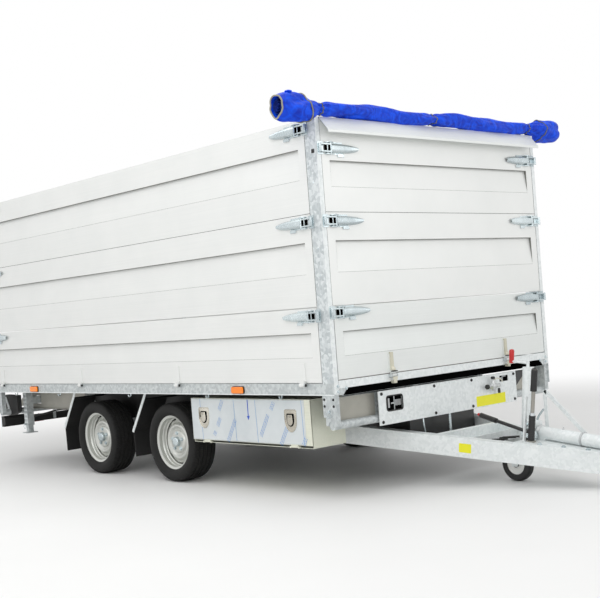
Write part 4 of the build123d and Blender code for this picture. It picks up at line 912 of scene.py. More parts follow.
@dataclass
class Wheels:
    """Tyres with tread, pressed rims, wheel bolts, hub caps and valves."""

    pitches: int = 60
    groove_depth: float = 0.007
    sipe_depth: float = 0.0045
    bolt_circle: float = 0.056
    bead_radius: float = 0.1795

    def section(self) -> tuple[np.ndarray, np.ndarray, np.ndarray]:
        """Tyre's outline from the outer bead over the tread to the inner one.

        Returns:
            Distance from the tyre's middle, radius, and how far a cross cut is sunk there.
        """
        wall = np.array([(0.0780, 0.1832), (0.0800, 0.1860), (0.0850, 0.1895), (0.0905, 0.1960),
                         (0.0955, 0.2080), (0.0975, 0.2190), (0.0968, 0.2300), (0.0955, 0.2360),
                         (0.0950, 0.2368), (0.0938, 0.2420), (0.0905, 0.2490), (0.0865, 0.2545),
                         (0.0825, 0.2578)])
        cuts = np.array([0, 0, 0, 0, 0, 0, 0, 0, 0, 0.1, 0.55, 0.9, 1.0])
        grooves = (0.048, 0.016)
        half = [(a, r, c) for (a, r), c in zip(wall, cuts)]
        edge = 0.076
        for centre in grooves:
            rib, top = (edge + centre) / 2, self.crown(centre)
            floor = top - self.groove_depth
            half += [(edge, self.crown(edge), 1.0), (rib + 0.002, self.crown(rib), 1.0),
                     (centre + 0.0042, top, 1.0), (centre + 0.0034, floor, 0.0),
                     (centre - 0.0034, floor, 0.0), (centre - 0.0042, top, 1.0)]
            edge = centre - 0.0055
        half += [(0.003, self.crown(0.003), 1.0)]
        out = np.array(half)
        other = out[::-1] * np.array([-1, 1, 1])
        whole = np.concatenate([out, other])
        return whole[:, 0], whole[:, 1], whole[:, 2]

    def crown(self, a: float) -> float:
        """Radius of the tread at a distance from the middle: a flat arc that falls by 2.5 mm."""
        return TYRE_R - 0.0025 * (a / 0.078) ** 2

    def tyre(self, name: str, side: str, sign: float, x: float) -> None:
        """Tyre as a surface of angle and outline, with cuts across the ribs at each pitch."""
        a, r, cut = self.section()
        fractions = np.array([0.0, 0.05, 0.16, 0.21, 0.5, 0.55, 0.63, 0.68])
        sunk = np.array([0.0, 1.0, 1.0, 0.0, 0.0, 0.5, 0.5, 0.0])
        steps = np.arange(self.pitches)[:, None] + fractions
        turn = (steps / self.pitches).ravel() * 2 * math.pi
        depth = np.tile(sunk, self.pitches)
        skew = 0.35 * np.sin(a / 0.0975 * 3.1) + np.where(a < 0, 0.5, 0.0)
        angle = turn[:, None] + skew * 2 * math.pi / self.pitches
        radius = r - self.sipe_depth * depth[:, None] * cut
        points = spread(x + radius * np.cos(angle), sign * (WHEEL_MID + a),
                        TYRE_R + radius * np.sin(angle))
        points = np.swapaxes(points, 0, 1)
        bead, inner = points[:1].copy(), points[-1:].copy()
        for ring in (bead, inner):
            flat = ring - np.array([x, 0, TYRE_R])
            scale = self.bead_radius / np.hypot(flat[..., 0], flat[..., 2])
            ring[..., 0] = x + flat[..., 0] * scale
            ring[..., 2] = TYRE_R + flat[..., 2] * scale
        shape = Shape()
        shape.grid(np.concatenate([bead, points, inner, bead]), caps=False)
        made = shape.make(f"tyre_tread_{name}_{side}", RUBBER, f"wheel_{name}_{side}", smooth=28,
                          slot="tyre_rubber")
        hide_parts(f"tyre_{name}_{side}")

    def hub(self, name: str, side: str, sign: float, x: float) -> None:
        """Five wheel bolts with cone seats, a pressed hub cap and the valve."""
        place = on_side(sign, x, TYRE_R, WHEEL_MID)
        body = f"wheel_{name}_{side}"
        bolts = Shape(place)
        for i in range(5):
            turn = math.radians(90 + 72 * i)
            hex_bolt(bolts, (self.bolt_circle * math.cos(turn), 0.0372,
                             self.bolt_circle * math.sin(turn)), 1, 1.0, 0.014)
        bolts.make(f"wheel_bolts_{name}_{side}", ZINC_BRIGHT, body)
        cap = Shape(place)
        cap.lathe([(0.030, 0.0335), (0.050, 0.0335), (0.058, 0.031), (0.062, 0.026), (0.0635, 0.018),
                   (0.064, 0.0002)], (0, 0, 0), 1, 40)
        cap.make(f"hub_cap_{name}_{side}", ZINC_BRIGHT, body)
        valve = Shape(place)
        valve.tube([(0.0, 0.040, 0.150), (0.0, 0.052, 0.146), (0.0, 0.066, 0.141)],
                   (0.006, 0.005, 0.004), 12)
        valve.make(f"valve_{name}_{side}", SMOOTH_RUBBER, body)

    def rim(self, name: str, side: str, sign: float, x: float) -> None:
        """Wheel rim: rolled flange, bead seat and well; a dished disc with a rolled edge, whose
        outer edge leaves crescent gaps to the well, and a raised hub face."""
        place = on_side(sign, x, TYRE_R, WHEEL_MID)
        body = f"wheel_{name}_{side}"
        barrel = [(0.0690, 0.1650), (0.0735, 0.1760), (0.0765, 0.1800), (0.0775, 0.1812),
                  (0.0775, 0.1822), (0.0755, 0.1828), (0.0690, 0.1815), (0.0655, 0.1715),
                  (0.0630, 0.1690), (0.0450, 0.1675), (0.0380, 0.1600), (-0.0380, 0.1600),
                  (-0.0450, 0.1675), (-0.0630, 0.1690), (-0.0655, 0.1715), (-0.0690, 0.1815),
                  (-0.0755, 0.1828), (-0.0775, 0.1812), (-0.0735, 0.1760), (-0.0690, 0.1650),
                  (-0.0480, 0.1635), (-0.0400, 0.1565), (0.0120, 0.1565), (0.0140, 0.1525),
                  (0.0180, 0.1510), (0.0220, 0.1530), (0.0240, 0.1585), (0.0420, 0.1610),
                  (0.0440, 0.1640), (0.0690, 0.1650)]
        shape = Shape(place)
        shape.grid(turned(barrel, 1, 96), caps=False)
        gap = 0.0075 * np.clip(1.5 * np.cos(8 * around(160)), 0, 1)
        disc = np.array([(0.0060, 0.1460), (0.0130, 0.1430), (0.0160, 0.1370), (0.0150, 0.1300),
                         (0.0200, 0.1240), (0.0320, 0.1190), (0.0385, 0.1130), (0.0400, 0.1060),
                         (0.0370, 0.0985), (0.0290, 0.0920), (0.0235, 0.0850), (0.0245, 0.0790),
                         (0.0325, 0.0745), (0.0368, 0.0700), (0.0372, 0.0650), (0.0372, 0.0330),
                         (0.0330, 0.0320), (0.0200, 0.0320), (0.0180, 0.0700), (0.0100, 0.1200),
                         (0.0000, 0.1400), (0.0000, 0.1460)])
        surface = turned(disc, 1, 160)
        near = np.clip((disc[:, 1] - 0.136) / 0.010, 0, 1)[:, None]
        scale = 1 + near * (0.0100 - gap[None, :]) / disc[:, 1][:, None]
        surface[..., 0] *= scale
        surface[..., 2] *= scale
        shape.grid(np.concatenate([surface, surface[:1]]), caps=False)
        made = shape.make(f"rim_pressed_{name}_{side}", WHEEL_PAINT, body, smooth=50, slot="rim_paint")
        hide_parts(f"rim_{name}_{side}")
        # Black ring behind the disc: painted shade seen through the crescent gaps and in the well
        dark = Shape(place).disc(-0.012, -0.006, 0.1555, (0, 0, 0), 1, 48, 0.060)
        dark.make(f"rim_painted_shade_{name}_{side}", SHADOW, body)

    def build(self) -> None:
        """All four wheels."""
        for side, sign in SIDES.items():
            for name, x in AXLE_X.items():
                self.tyre(name, side, sign, x)
                self.rim(name, side, sign, x)
                self.hub(name, side, sign, x)


@dataclass
class Toolbox:
    """Film, its print and the two paddle latches on the toolbox door."""

    face: float = -0.943
    x0: float = -0.05
    x1: float = 1.08
    z0: float = 0.301
    z1: float = 0.565
    latches: tuple[tuple[float, float], ...] = ((0.08, 0.445), (0.91, 0.445))

    def film(self) -> None:
        """Thin film over the door, rippled a little and standing off along its overlaps."""
        u = np.linspace(self.x0 + 0.002, self.x1 - 0.05, 150)
        v = np.linspace(self.z0 + 0.002, self.z1 - 0.002, 40)
        x, z = np.meshgrid(u, v, indexing="ij")
        wave = 0.0003 * np.sin(38 * x + 9 * z) * np.sin(27 * z + 6 * x)
        front = np.stack([x, np.full_like(x, self.face - 0.0009) + wave, z], -1)
        sheet = Shape().grid(front, wrap=False, caps=False)
        thicken(sheet.make("door_film", FILM, "toolbox_door"), 0.0004)

    def printed(self) -> None:
        """Generic blue print: slanted groups of three broken lines, and a plain arrow."""
        rng = np.random.default_rng(7)
        marks = Shape()
        lean = math.radians(58)
        way = np.array([math.cos(lean), math.sin(lean)])
        side = np.array([way[1], -way[0]])
        for start, reach in (((0.23, 0.500), 0.07), ((0.205, 0.40), 0.06), ((0.30, 0.306), 0.16),
                             ((0.165, 0.34), 0.03), ((0.62, 0.35), 0.15), ((0.73, 0.51), 0.05),
                             ((0.80, 0.306), 0.12), ((0.995, 0.31), 0.05)):
            for row in range(3):
                at = 0.0
                while at < reach:
                    long = float(rng.uniform(0.006, 0.014))
                    a = np.array(start) + way * at + side * row * 0.011
                    b = a + way * min(long, reach - at)
                    if b[1] < self.z1 - 0.005:
                        corners = np.array([a - side * 0.0015, a + side * 0.0015, b + side * 0.0015,
                                            b - side * 0.0015])
                        marks.prism(corners, (self.face - 0.0016, self.face - 0.0018))
                    at += long + 0.003
        marks.make("film_print", FILM_INK, "toolbox_door")
        arrow = Shape()
        arrow.prism([(0.520, 0.560), (0.527, 0.560), (0.527, 0.462), (0.537, 0.462), (0.5235, 0.436),
                     (0.510, 0.462), (0.520, 0.462)], (self.face - 0.0016, self.face - 0.0018))
        arrow.make("film_arrow", ARROW_INK, "toolbox_door")
        edges = Shape()
        for x, tilt in ((0.055, 0.012), (0.395, 0.010), (0.60, 0.008), (1.012, 0.006)):
            edges.prism([(x, self.z0 + 0.004), (x + 0.003, self.z0 + 0.004),
                         (x + 0.003 - tilt, self.z1 - 0.004), (x - tilt, self.z1 - 0.004)],
                        (self.face - 0.0014, self.face - 0.0017))
        edges.make("film_overlaps", FILM_EDGE, "toolbox_door")

    def paddle(self, index: int, x: float, z: float) -> None:
        """Shield-shaped dish with a rim, a well painted black as its shade, and a folding paddle."""
        place = Place((x, self.face, z), (1, 0, 0), (0, -1, 0))
        t = np.linspace(0, math.pi, 15)
        lobe = np.stack([np.cos(t), -np.sin(t)], -1)
        shield = np.concatenate([[(-0.052, 0.0), (-0.052, 0.055), (-0.044, 0.063), (0.044, 0.063),
                                  (0.052, 0.055)], lobe * (0.052, 0.070)])
        dish = Shape(place)
        dish.prism(shield, (0.0, 0.004))
        dish.loop(spread(shield[:, 0], 0.004, shield[:, 1]) * np.array([0.93, 1, 0.93]), 0.0028)
        dish.make(f"door_latch_dish_{index}", STAINLESS_CAST, "toolbox_door", 0.0008)
        # Black sheet in the well: painted shade under the paddle
        well = Shape(place)
        well.prism(shield * np.array([0.62, 0.57]) + np.array([0.0, 0.003]), (0.0040, 0.0048))
        well.make(f"door_latch_well_shade_{index}", SHADOW, "toolbox_door")
        grip = Shape(place)
        lip = np.concatenate([[(-0.026, 0.0), (-0.020, 0.036), (0.020, 0.036), (0.026, 0.0)],
                              lobe * (0.026, 0.034)])
        grip.prism(lip * 0.9, (0.0048, 0.010))
        grip.lathe([(0.0098, 0.0001), (0.0098, 0.010), (0.0125, 0.0095), (0.0125, 0.0001)],
                   (0, 0, 0.022), 1, 20)
        grip.make(f"door_latch_paddle_{index}", STAINLESS_CAST, "toolbox_door", 0.0014)
        # Black slab in the keyway: painted shade in the key slot
        slot = Shape(place).slab((-0.0012, 0.0125, 0.016), (0.0012, 0.0129, 0.028))
        slot.make(f"door_latch_keyway_shade_{index}", SHADOW, "toolbox_door")

    def build(self) -> None:
        """The whole door."""
        self.film()
        self.printed()
        for i, (x, z) in enumerate(self.latches):
            self.paddle(i + 1, x, z)


@dataclass
class BedFittings:
    """Small fittings on the bed: hinge pins, marker lamps, hooks, plugs, black strips of painted shade
    in the gaps, and ring pins.
    """

    hinge_x: tuple[float, ...] = (1.1, -0.1067, -1.3133, -2.52)
    front_hinge_y: float = 0.53
    marker_x: tuple[float, ...] = (0.505, -2.018)
    hook_x: tuple[float, ...] = (0.88, 0.18, -0.70, -1.66, -2.34)
    pin_x: tuple[float, ...] = (1.29, -2.64)
    pin_z: float = 0.505
    gap_shade: tuple[float, float] = (1.5948, 1.5972)
    gap_shade_edge: float = 0.0012
    post_width: float = 0.088
    end_half: float = 0.956
    groove_inset: float = 0.153
    groove_reach: dict[str, float] = field(
        default_factory=lambda: {"lower": 0.8908, "middle": 0.8958, "upper": 0.8958})

    def hinges(self) -> None:
        """Dark heads on the side hinges' pins; a tapered strap with a round nut at each front one."""
        for side, sign in SIDES.items():
            heads = Shape()
            for x in self.hinge_x:
                for way in (-1.0, 1.0):
                    heads.lathe([(way * 0.026, 0.0085), (way * 0.029, 0.0085), (way * 0.031, 0.006),
                                 (way * 0.031, 0.0002)], (x, sign * (HALF + 0.014), 0.652), 0, 14)
            heads.make(f"hinge_pin_heads_{side}", BLACK_PAINT, "bed")
        straps = Shape(on_end(FRONT + 0.005))
        washers = Shape()
        feet = Shape(on_end(FRONT))
        for y in (-self.front_hinge_y, self.front_hinge_y):
            straps.prism([(y - 0.013, 0.691), (y + 0.013, 0.691), (y + 0.010, 0.796),
                          (y - 0.010, 0.796)], (-0.0045, 0.008))
            straps.lathe([(0.691, 0.014), (0.700, 0.0145), (0.712, 0.0105), (0.713, 0.0002)],
                         (y, 0.010, 0.0), 2, 20)
            washers.disc(0.685, 0.690, 0.020, (FRONT + 0.0225, y, 0.0), 2, 28, 0.0002)
            feet.prism([(y - 0.020, 0.655), (y - 0.011, 0.618), (y + 0.011, 0.618), (y + 0.020, 0.655)],
                       (0.0262, 0.0288))
            feet.slab((y - 0.010, 0.001, 0.618), (y + 0.010, 0.0262, 0.634))
        straps.make("hinge_straps_front", WARM_ZINC, "drop_board_front", 0.001)
        washers.make("hinge_washers_front", SMOOTH_RUBBER, "drop_board_front")
        feet.make("hinge_feet_front", WARM_ZINC, "bed", 0.001)

    def markers(self) -> None:
        """Amber side lamps on the rails: a black base and a domed lens."""
        for side, sign in SIDES.items():
            for i, x in enumerate(self.marker_x):
                place = on_side(sign, x, 0.623)
                base = Shape(place).prism(rounded(0.118, 0.046, 0.012), (0.0, 0.004))
                base.make(f"marker_base_{side}_{i + 1}", BLACK_PLASTIC, "bed")
                lens = Shape(place).prism(rounded(0.110, 0.040, 0.010), (0.004, 0.015))
                lens.make(f"marker_lens_{side}_{i + 1}", AMBER, "bed", 0.004)

    def hooks(self) -> None:
        """Bent rope hooks under both rails, and the pale edge of each rail's lower flange."""
        for side, sign in SIDES.items():
            hooks = Shape()
            for x in self.hook_x:
                path = [(x, sign * 0.972, 0.596), (x, sign * 0.973, 0.580), (x, sign * 0.981, 0.573),
                        (x, sign * 0.990, 0.578), (x, sign * 0.993, 0.588)]
                hooks.tube(smooth_path(path, 5), 0.0042, 10)
            hooks.make(f"rope_hooks_{side}", ZINC_BRIGHT, "bed")
            edge = Shape(on_side(sign))
            edge.slab((REAR + 0.003, 0.0, RAIL_BOTTOM), (FRONT - 0.003, 0.002, RAIL_BOTTOM + 0.006))
            edge.make(f"rail_edge_{side}", ZINC_PLATE, "bed")

    def plugs(self) -> None:
        """Square plugs in the posts' faces, rivets beside the posts and bolts on the corners."""
        for side, sign in SIDES.items():
            for end, face, out in ENDS:
                place = Place((face, sign * (HALF - 0.017), 0), (0, 1, 0), (out, 0, 0))
                own = on_side(sign, face - out * 0.028, 1.93)
                plug = Shape(own).prism(rounded(0.022, 0.022, 0.003), (0.0, 0.0022))
                plug.make(f"post_plug_{end}_{side}", BLACK_PLASTIC, "bed", 0.0006)
                if end == "front":
                    dark = Shape(on_side(sign, face - out * 0.05))
                    for x, z in ((0.036, 0.572), (-0.036, 0.572), (0.036, 0.535), (-0.036, 0.535)):
                        hex_bolt(dark, (x, 0.0, z), 1, 1.0, 0.008)
                    dark.make(f"saddle_bolts_{side}", BLACK_PAINT, "bed")
                bolts = Shape(place)
                for y, z in ((-sign * 0.012, 0.612), (-sign * 0.012, 0.643), (-sign * 0.075, 0.627)):
                    hex_bolt(bolts, (y, 0.0, z), 1, 1.0, 0.010)
                bolts.make(f"corner_bolts_{end}_{side}", ZINC_BRIGHT, "bed")
            for end, face, out in ENDS:
                rivets = Shape(on_side(sign, face - out * self.post_width / 2))
                for z in (0.69, 1.25, 1.40, 1.76, 1.90):
                    rivets.lathe([(0.0, 0.0055), (0.0012, 0.0052), (0.0026, 0.003), (0.003, 0.0002)],
                                 (0.0, 0.0, z), 1, 14)
                rivets.make(f"post_rivets_{end}_{side}", ZINC_BRIGHT, "bed")

    def seams(self) -> None:
        """Black strips between the boards and along the posts, a little proud of the faces: painted
        shade in the gaps.
        """
        top, deep = BOARD_TOPS["upper"], 0.0005
        side_ends = (REAR + self.post_width, FRONT - self.post_width)
        walls = [(side, on_side(sign), side_ends) for side, sign in SIDES.items()]
        walls += [(end, on_end(face, out), (-self.end_half, self.end_half)) for end, face, out in ENDS]
        for name, place, ends in walls:
            # Black strips where the boards meet and beside the posts: painted shade in the gaps
            wall = Shape(place).slab((ends[0], -0.002, self.gap_shade[0]), (ends[1], deep, self.gap_shade[1]))
            for at in ends:
                wall.slab((at - self.gap_shade_edge, -0.002, 1.085), (at + self.gap_shade_edge, deep, top))
            wall.make(f"board_gap_shade_{name}", BLACK_PLASTIC, "bed")

    def grooves(self) -> None:
        """Painted shade under the upper edges of the boards' grooves, fine lines at their joints, and
        painted shade on the grooves' end faces in the end walls.
        """
        for side, sign in SIDES.items():
            for board, heights in GROOVES.items():
                body = f"drop_board_{side}" if board == "lower" else "bed"
                lines = self.groove(on_side(sign), REAR + self.groove_inset, FRONT - self.groove_inset,
                                    *heights[:2])
                lines.make(f"groove_lines_{board}_{side}", GROOVE_SHADE, body)
        for end, face, out in ENDS:
            lowest = {"front": "drop_board_front", "rear": "tail_flap"}[end]
            for board, heights in GROOVES.items():
                body = lowest if board == "lower" else "bed"
                reach = self.groove_reach[board]
                top, joint = heights[2:]
                lines = self.groove(on_end(face, out), -reach, reach, top, joint)
                # Grey wedges at both ends of each end-wall groove: painted shade on its end faces
                for edge in (-reach, reach - 0.0006):
                    lines.prism([(-0.0160, top - 0.001), (-0.0006, top - 0.001),
                                 (-0.0006, joint + 0.012)], (edge, edge + 0.0006), axis=0)
                lines.make(f"groove_lines_{board}_{end}", GROOVE_SHADE, body)

    def groove(self, place: Place, start: float, end: float, top: float, joint: float) -> Shape:
        """The painted shade strip under one groove's upper edge and the fine line at its joint."""
        lines = Shape(place).slab((start, -0.012, top - 0.0035), (end, -0.0006, top - 0.0002))
        return lines.slab((start, -0.0008, joint - 0.0006), (end, 0.0003, joint + 0.0006))

    def bright_faces(self) -> None:
        """Pale outer faces of the posts and the front beam, and a black strip under the beam as painted
        shadow of the gap above the chassis plate.
        """
        wall = Shape(on_end(FRONT))
        for sign in (-1.0, 1.0):
            a, b = sorted((sign * 0.9570, sign * 0.9893))
            wall.slab((a, 0.0, 0.600), (b, 0.0008, 2.1145))
        wall.slab((-0.9540, 0.0, 0.630), (0.9540, 0.0006, 0.6725))
        wall.make("front_bright_faces", ZINC_PLATE, "bed")
        # Black strip under the beam: painted shadow of the gap between the beam and the chassis plate
        gap_shade = Shape(on_end(FRONT))
        gap_shade.prism([(-0.926, 0.590), (0.926, 0.590), (0.890, 0.6290), (-0.890, 0.6290)], (0.0, 0.0010))
        gap_shade.make("front_beam_gap_shadow", SHADOW, "bed")

    def ring_pins(self) -> None:
        """Locking pins through the saddles' plates, each with a ring hanging from its head."""
        for side, sign in SIDES.items():
            for i, x in enumerate(self.pin_x):
                pin = Shape(on_side(sign, x, self.pin_z))
                pin.lathe([(0.0, 0.0085), (0.010, 0.0085), (0.0115, 0.007), (0.0115, 0.0002)],
                          (0, 0, 0), 1, 16)
                turn = np.linspace(0, 2 * math.pi, 25)
                pin.tube(spread(0.017 * np.sin(turn), 0.0075 + 0.002 * np.cos(turn),
                                -0.017 + 0.017 * np.cos(turn)), 0.0016, 8)
                pin.make(f"saddle_pin_{side}_{i + 1}", ZINC_BRIGHT, "bed")

    def build(self) -> None:
        """All of them."""
        self.hinges()
        self.markers()
        self.hooks()
        self.plugs()
        self.seams()
        self.grooves()
        self.bright_faces()
        self.ring_pins()


@dataclass
class FrontPlate:
    """Fittings on the plate across the chassis' front, in the plate's own axes."""

    place: Place = field(default_factory=lambda: on_end(1.328))
    window: tuple[float, float] = (-0.51, 0.5035)
    valve_y: float = 0.371
    valve_out: float = 0.026
    valve_z: float = 0.508

    def bolts_and_window(self) -> None:
        """Bolts in two rows, the window with black painted shade behind it and its bezel, black painted
        shade in the slot, and a blank yellow label.
        """
        bolts = Shape(self.place)
        for y in (-0.615, -0.16, 0.19, 0.615):
            for z in (0.563, 0.402):
                hex_bolt(bolts, (y, 0.0, z), 1, 1.0, 0.010)
        bolts.make("plate_bolts", BLACK_PAINT, "chassis")
        # Black backings in the window and the slot: painted shade inside the plate
        dark = Shape(self.place).prism(rounded(0.134, 0.088, 0.012, self.window), (-0.012, -0.007))
        dark.make("plate_window_shade", SHADOW, "chassis")
        dark = Shape(self.place).slab((0.462, -0.012, 0.518), (0.568, -0.007, 0.570))
        dark.make("plate_slot_shade", SHADOW, "chassis")
        inside = Shape(self.place)
        bars = [(-0.560, 0.478, -0.548, 0.532), (-0.535, 0.498, -0.512, 0.506),
                (0.500, 0.528, 0.506, 0.560), (0.500, 0.554, 0.540, 0.560)]
        bars += [(-0.500 + i * 0.010, 0.486, -0.495 + i * 0.010, 0.520) for i in range(5)]
        for y0, z0, y1, z1 in bars:
            inside.slab((y0, -0.0065, z0), (y1, -0.004, z1))
        inside.make("plate_window_contents", CAST_STEEL, "chassis")
        bezel = Shape(self.place)
        rim = rounded(0.132, 0.085, 0.014, self.window)
        bezel.loop(spread(rim[:, 0], 0.0012, rim[:, 1]), 0.004, 10)
        bezel.make("plate_window_bezel", SMOOTH_RUBBER, "chassis")
        label = Shape(self.place).prism(rounded(0.29, 0.064, 0.005, (0.372, 0.424)), (0.0, 0.0008))
        label.make("plate_label", YELLOW_FILM, "chassis")

    def valve(self) -> None:
        """Small shut-off valve: a bright body and spindle, black knobs and a bent lever."""
        block = Shape(self.place)
        block.lathe([(0.325, 0.0002), (0.325, 0.010), (0.345, 0.010), (0.350, 0.017), (0.392, 0.017),
                     (0.397, 0.012), (0.432, 0.012), (0.436, 0.009), (0.436, 0.0002)],
                    (0.0, self.valve_out, self.valve_z), 0, 24)
        block.lathe([(0.480, 0.0002), (0.480, 0.009), (0.494, 0.012), (0.530, 0.012), (0.540, 0.008),
                     (0.552, 0.008), (0.552, 0.0002)], (self.valve_y, self.valve_out, 0.0), 2, 20)
        block.slab((0.357, 0.0, 0.500), (0.385, 0.020, 0.518))
        for y in (0.350, 0.392):
            hex_bolt(block, (y, 0.040, 0.508), 1, 1.0, 0.012)
        block.make("valve_body", CAST_STEEL, "chassis", 0.001)
        knobs = Shape(self.place)
        knobs.lathe([(0.297, 0.0003), (0.298, 0.011), (0.304, 0.015), (0.316, 0.015), (0.322, 0.010),
                     (0.325, 0.0105), (0.325, 0.0003)], (0.0, self.valve_out, self.valve_z), 0, 20)
        knobs.lathe([(0.552, 0.0003), (0.552, 0.013), (0.562, 0.014), (0.568, 0.010), (0.569, 0.0003)],
                    (self.valve_y, self.valve_out, 0.0), 2, 20)
        knobs.lathe([(0.458, 0.0003), (0.459, 0.008), (0.476, 0.009), (0.490, 0.007), (0.490, 0.0003)],
                    (self.valve_y + 0.054, self.valve_out, 0.0), 2, 16)
        knobs.make("valve_knobs", BLACK_PLASTIC, "chassis")
        lever = Shape(self.place)
        lever.tube(smooth_path([(0.371, 0.038, 0.548), (0.392, 0.044, 0.556), (0.425, 0.046, 0.545),
                                (0.440, 0.045, 0.530)], 6), 0.0035, 10)
        lever.make("valve_lever", WARM_ZINC, "chassis")

    def below(self) -> None:
        """A dark gusset at the plate's end, grey shields beside it, and two rods under it."""
        gusset = Shape(self.place)
        gusset.prism([(0.645, 0.575), (0.80, 0.575), (0.66, 0.47), (0.645, 0.47)], (-0.030, -0.026))
        gusset.make("plate_gusset", BLACK_PAINT, "chassis")
        facings = Shape(on_end(1.2742))
        for sign in (-1.0, 1.0):
            a, b = sorted((sign * 0.620, sign * 0.928))
            facings.slab((a, 0.0, 0.447), (b, 0.0006, 0.573))
        facings.make("shield_facings", BRUSHED_GREY, "chassis")
        rods = Shape(self.place)
        rods.tube([(-0.02, -0.016, 0.40), (-0.02, -0.016, 0.33), (-0.02, -0.016, 0.27)], 0.009, 14)
        rods.tube(smooth_path([(-0.26, -0.016, 0.39), (-0.262, -0.010, 0.34), (-0.25, -0.012, 0.29)],
                              6), 0.0045, 10)
        rods.make("plate_rods", ZINC_BRIGHT, "chassis")

    def build(self) -> None:
        """All of them."""
        self.bolts_and_window()
        self.valve()
        self.below()


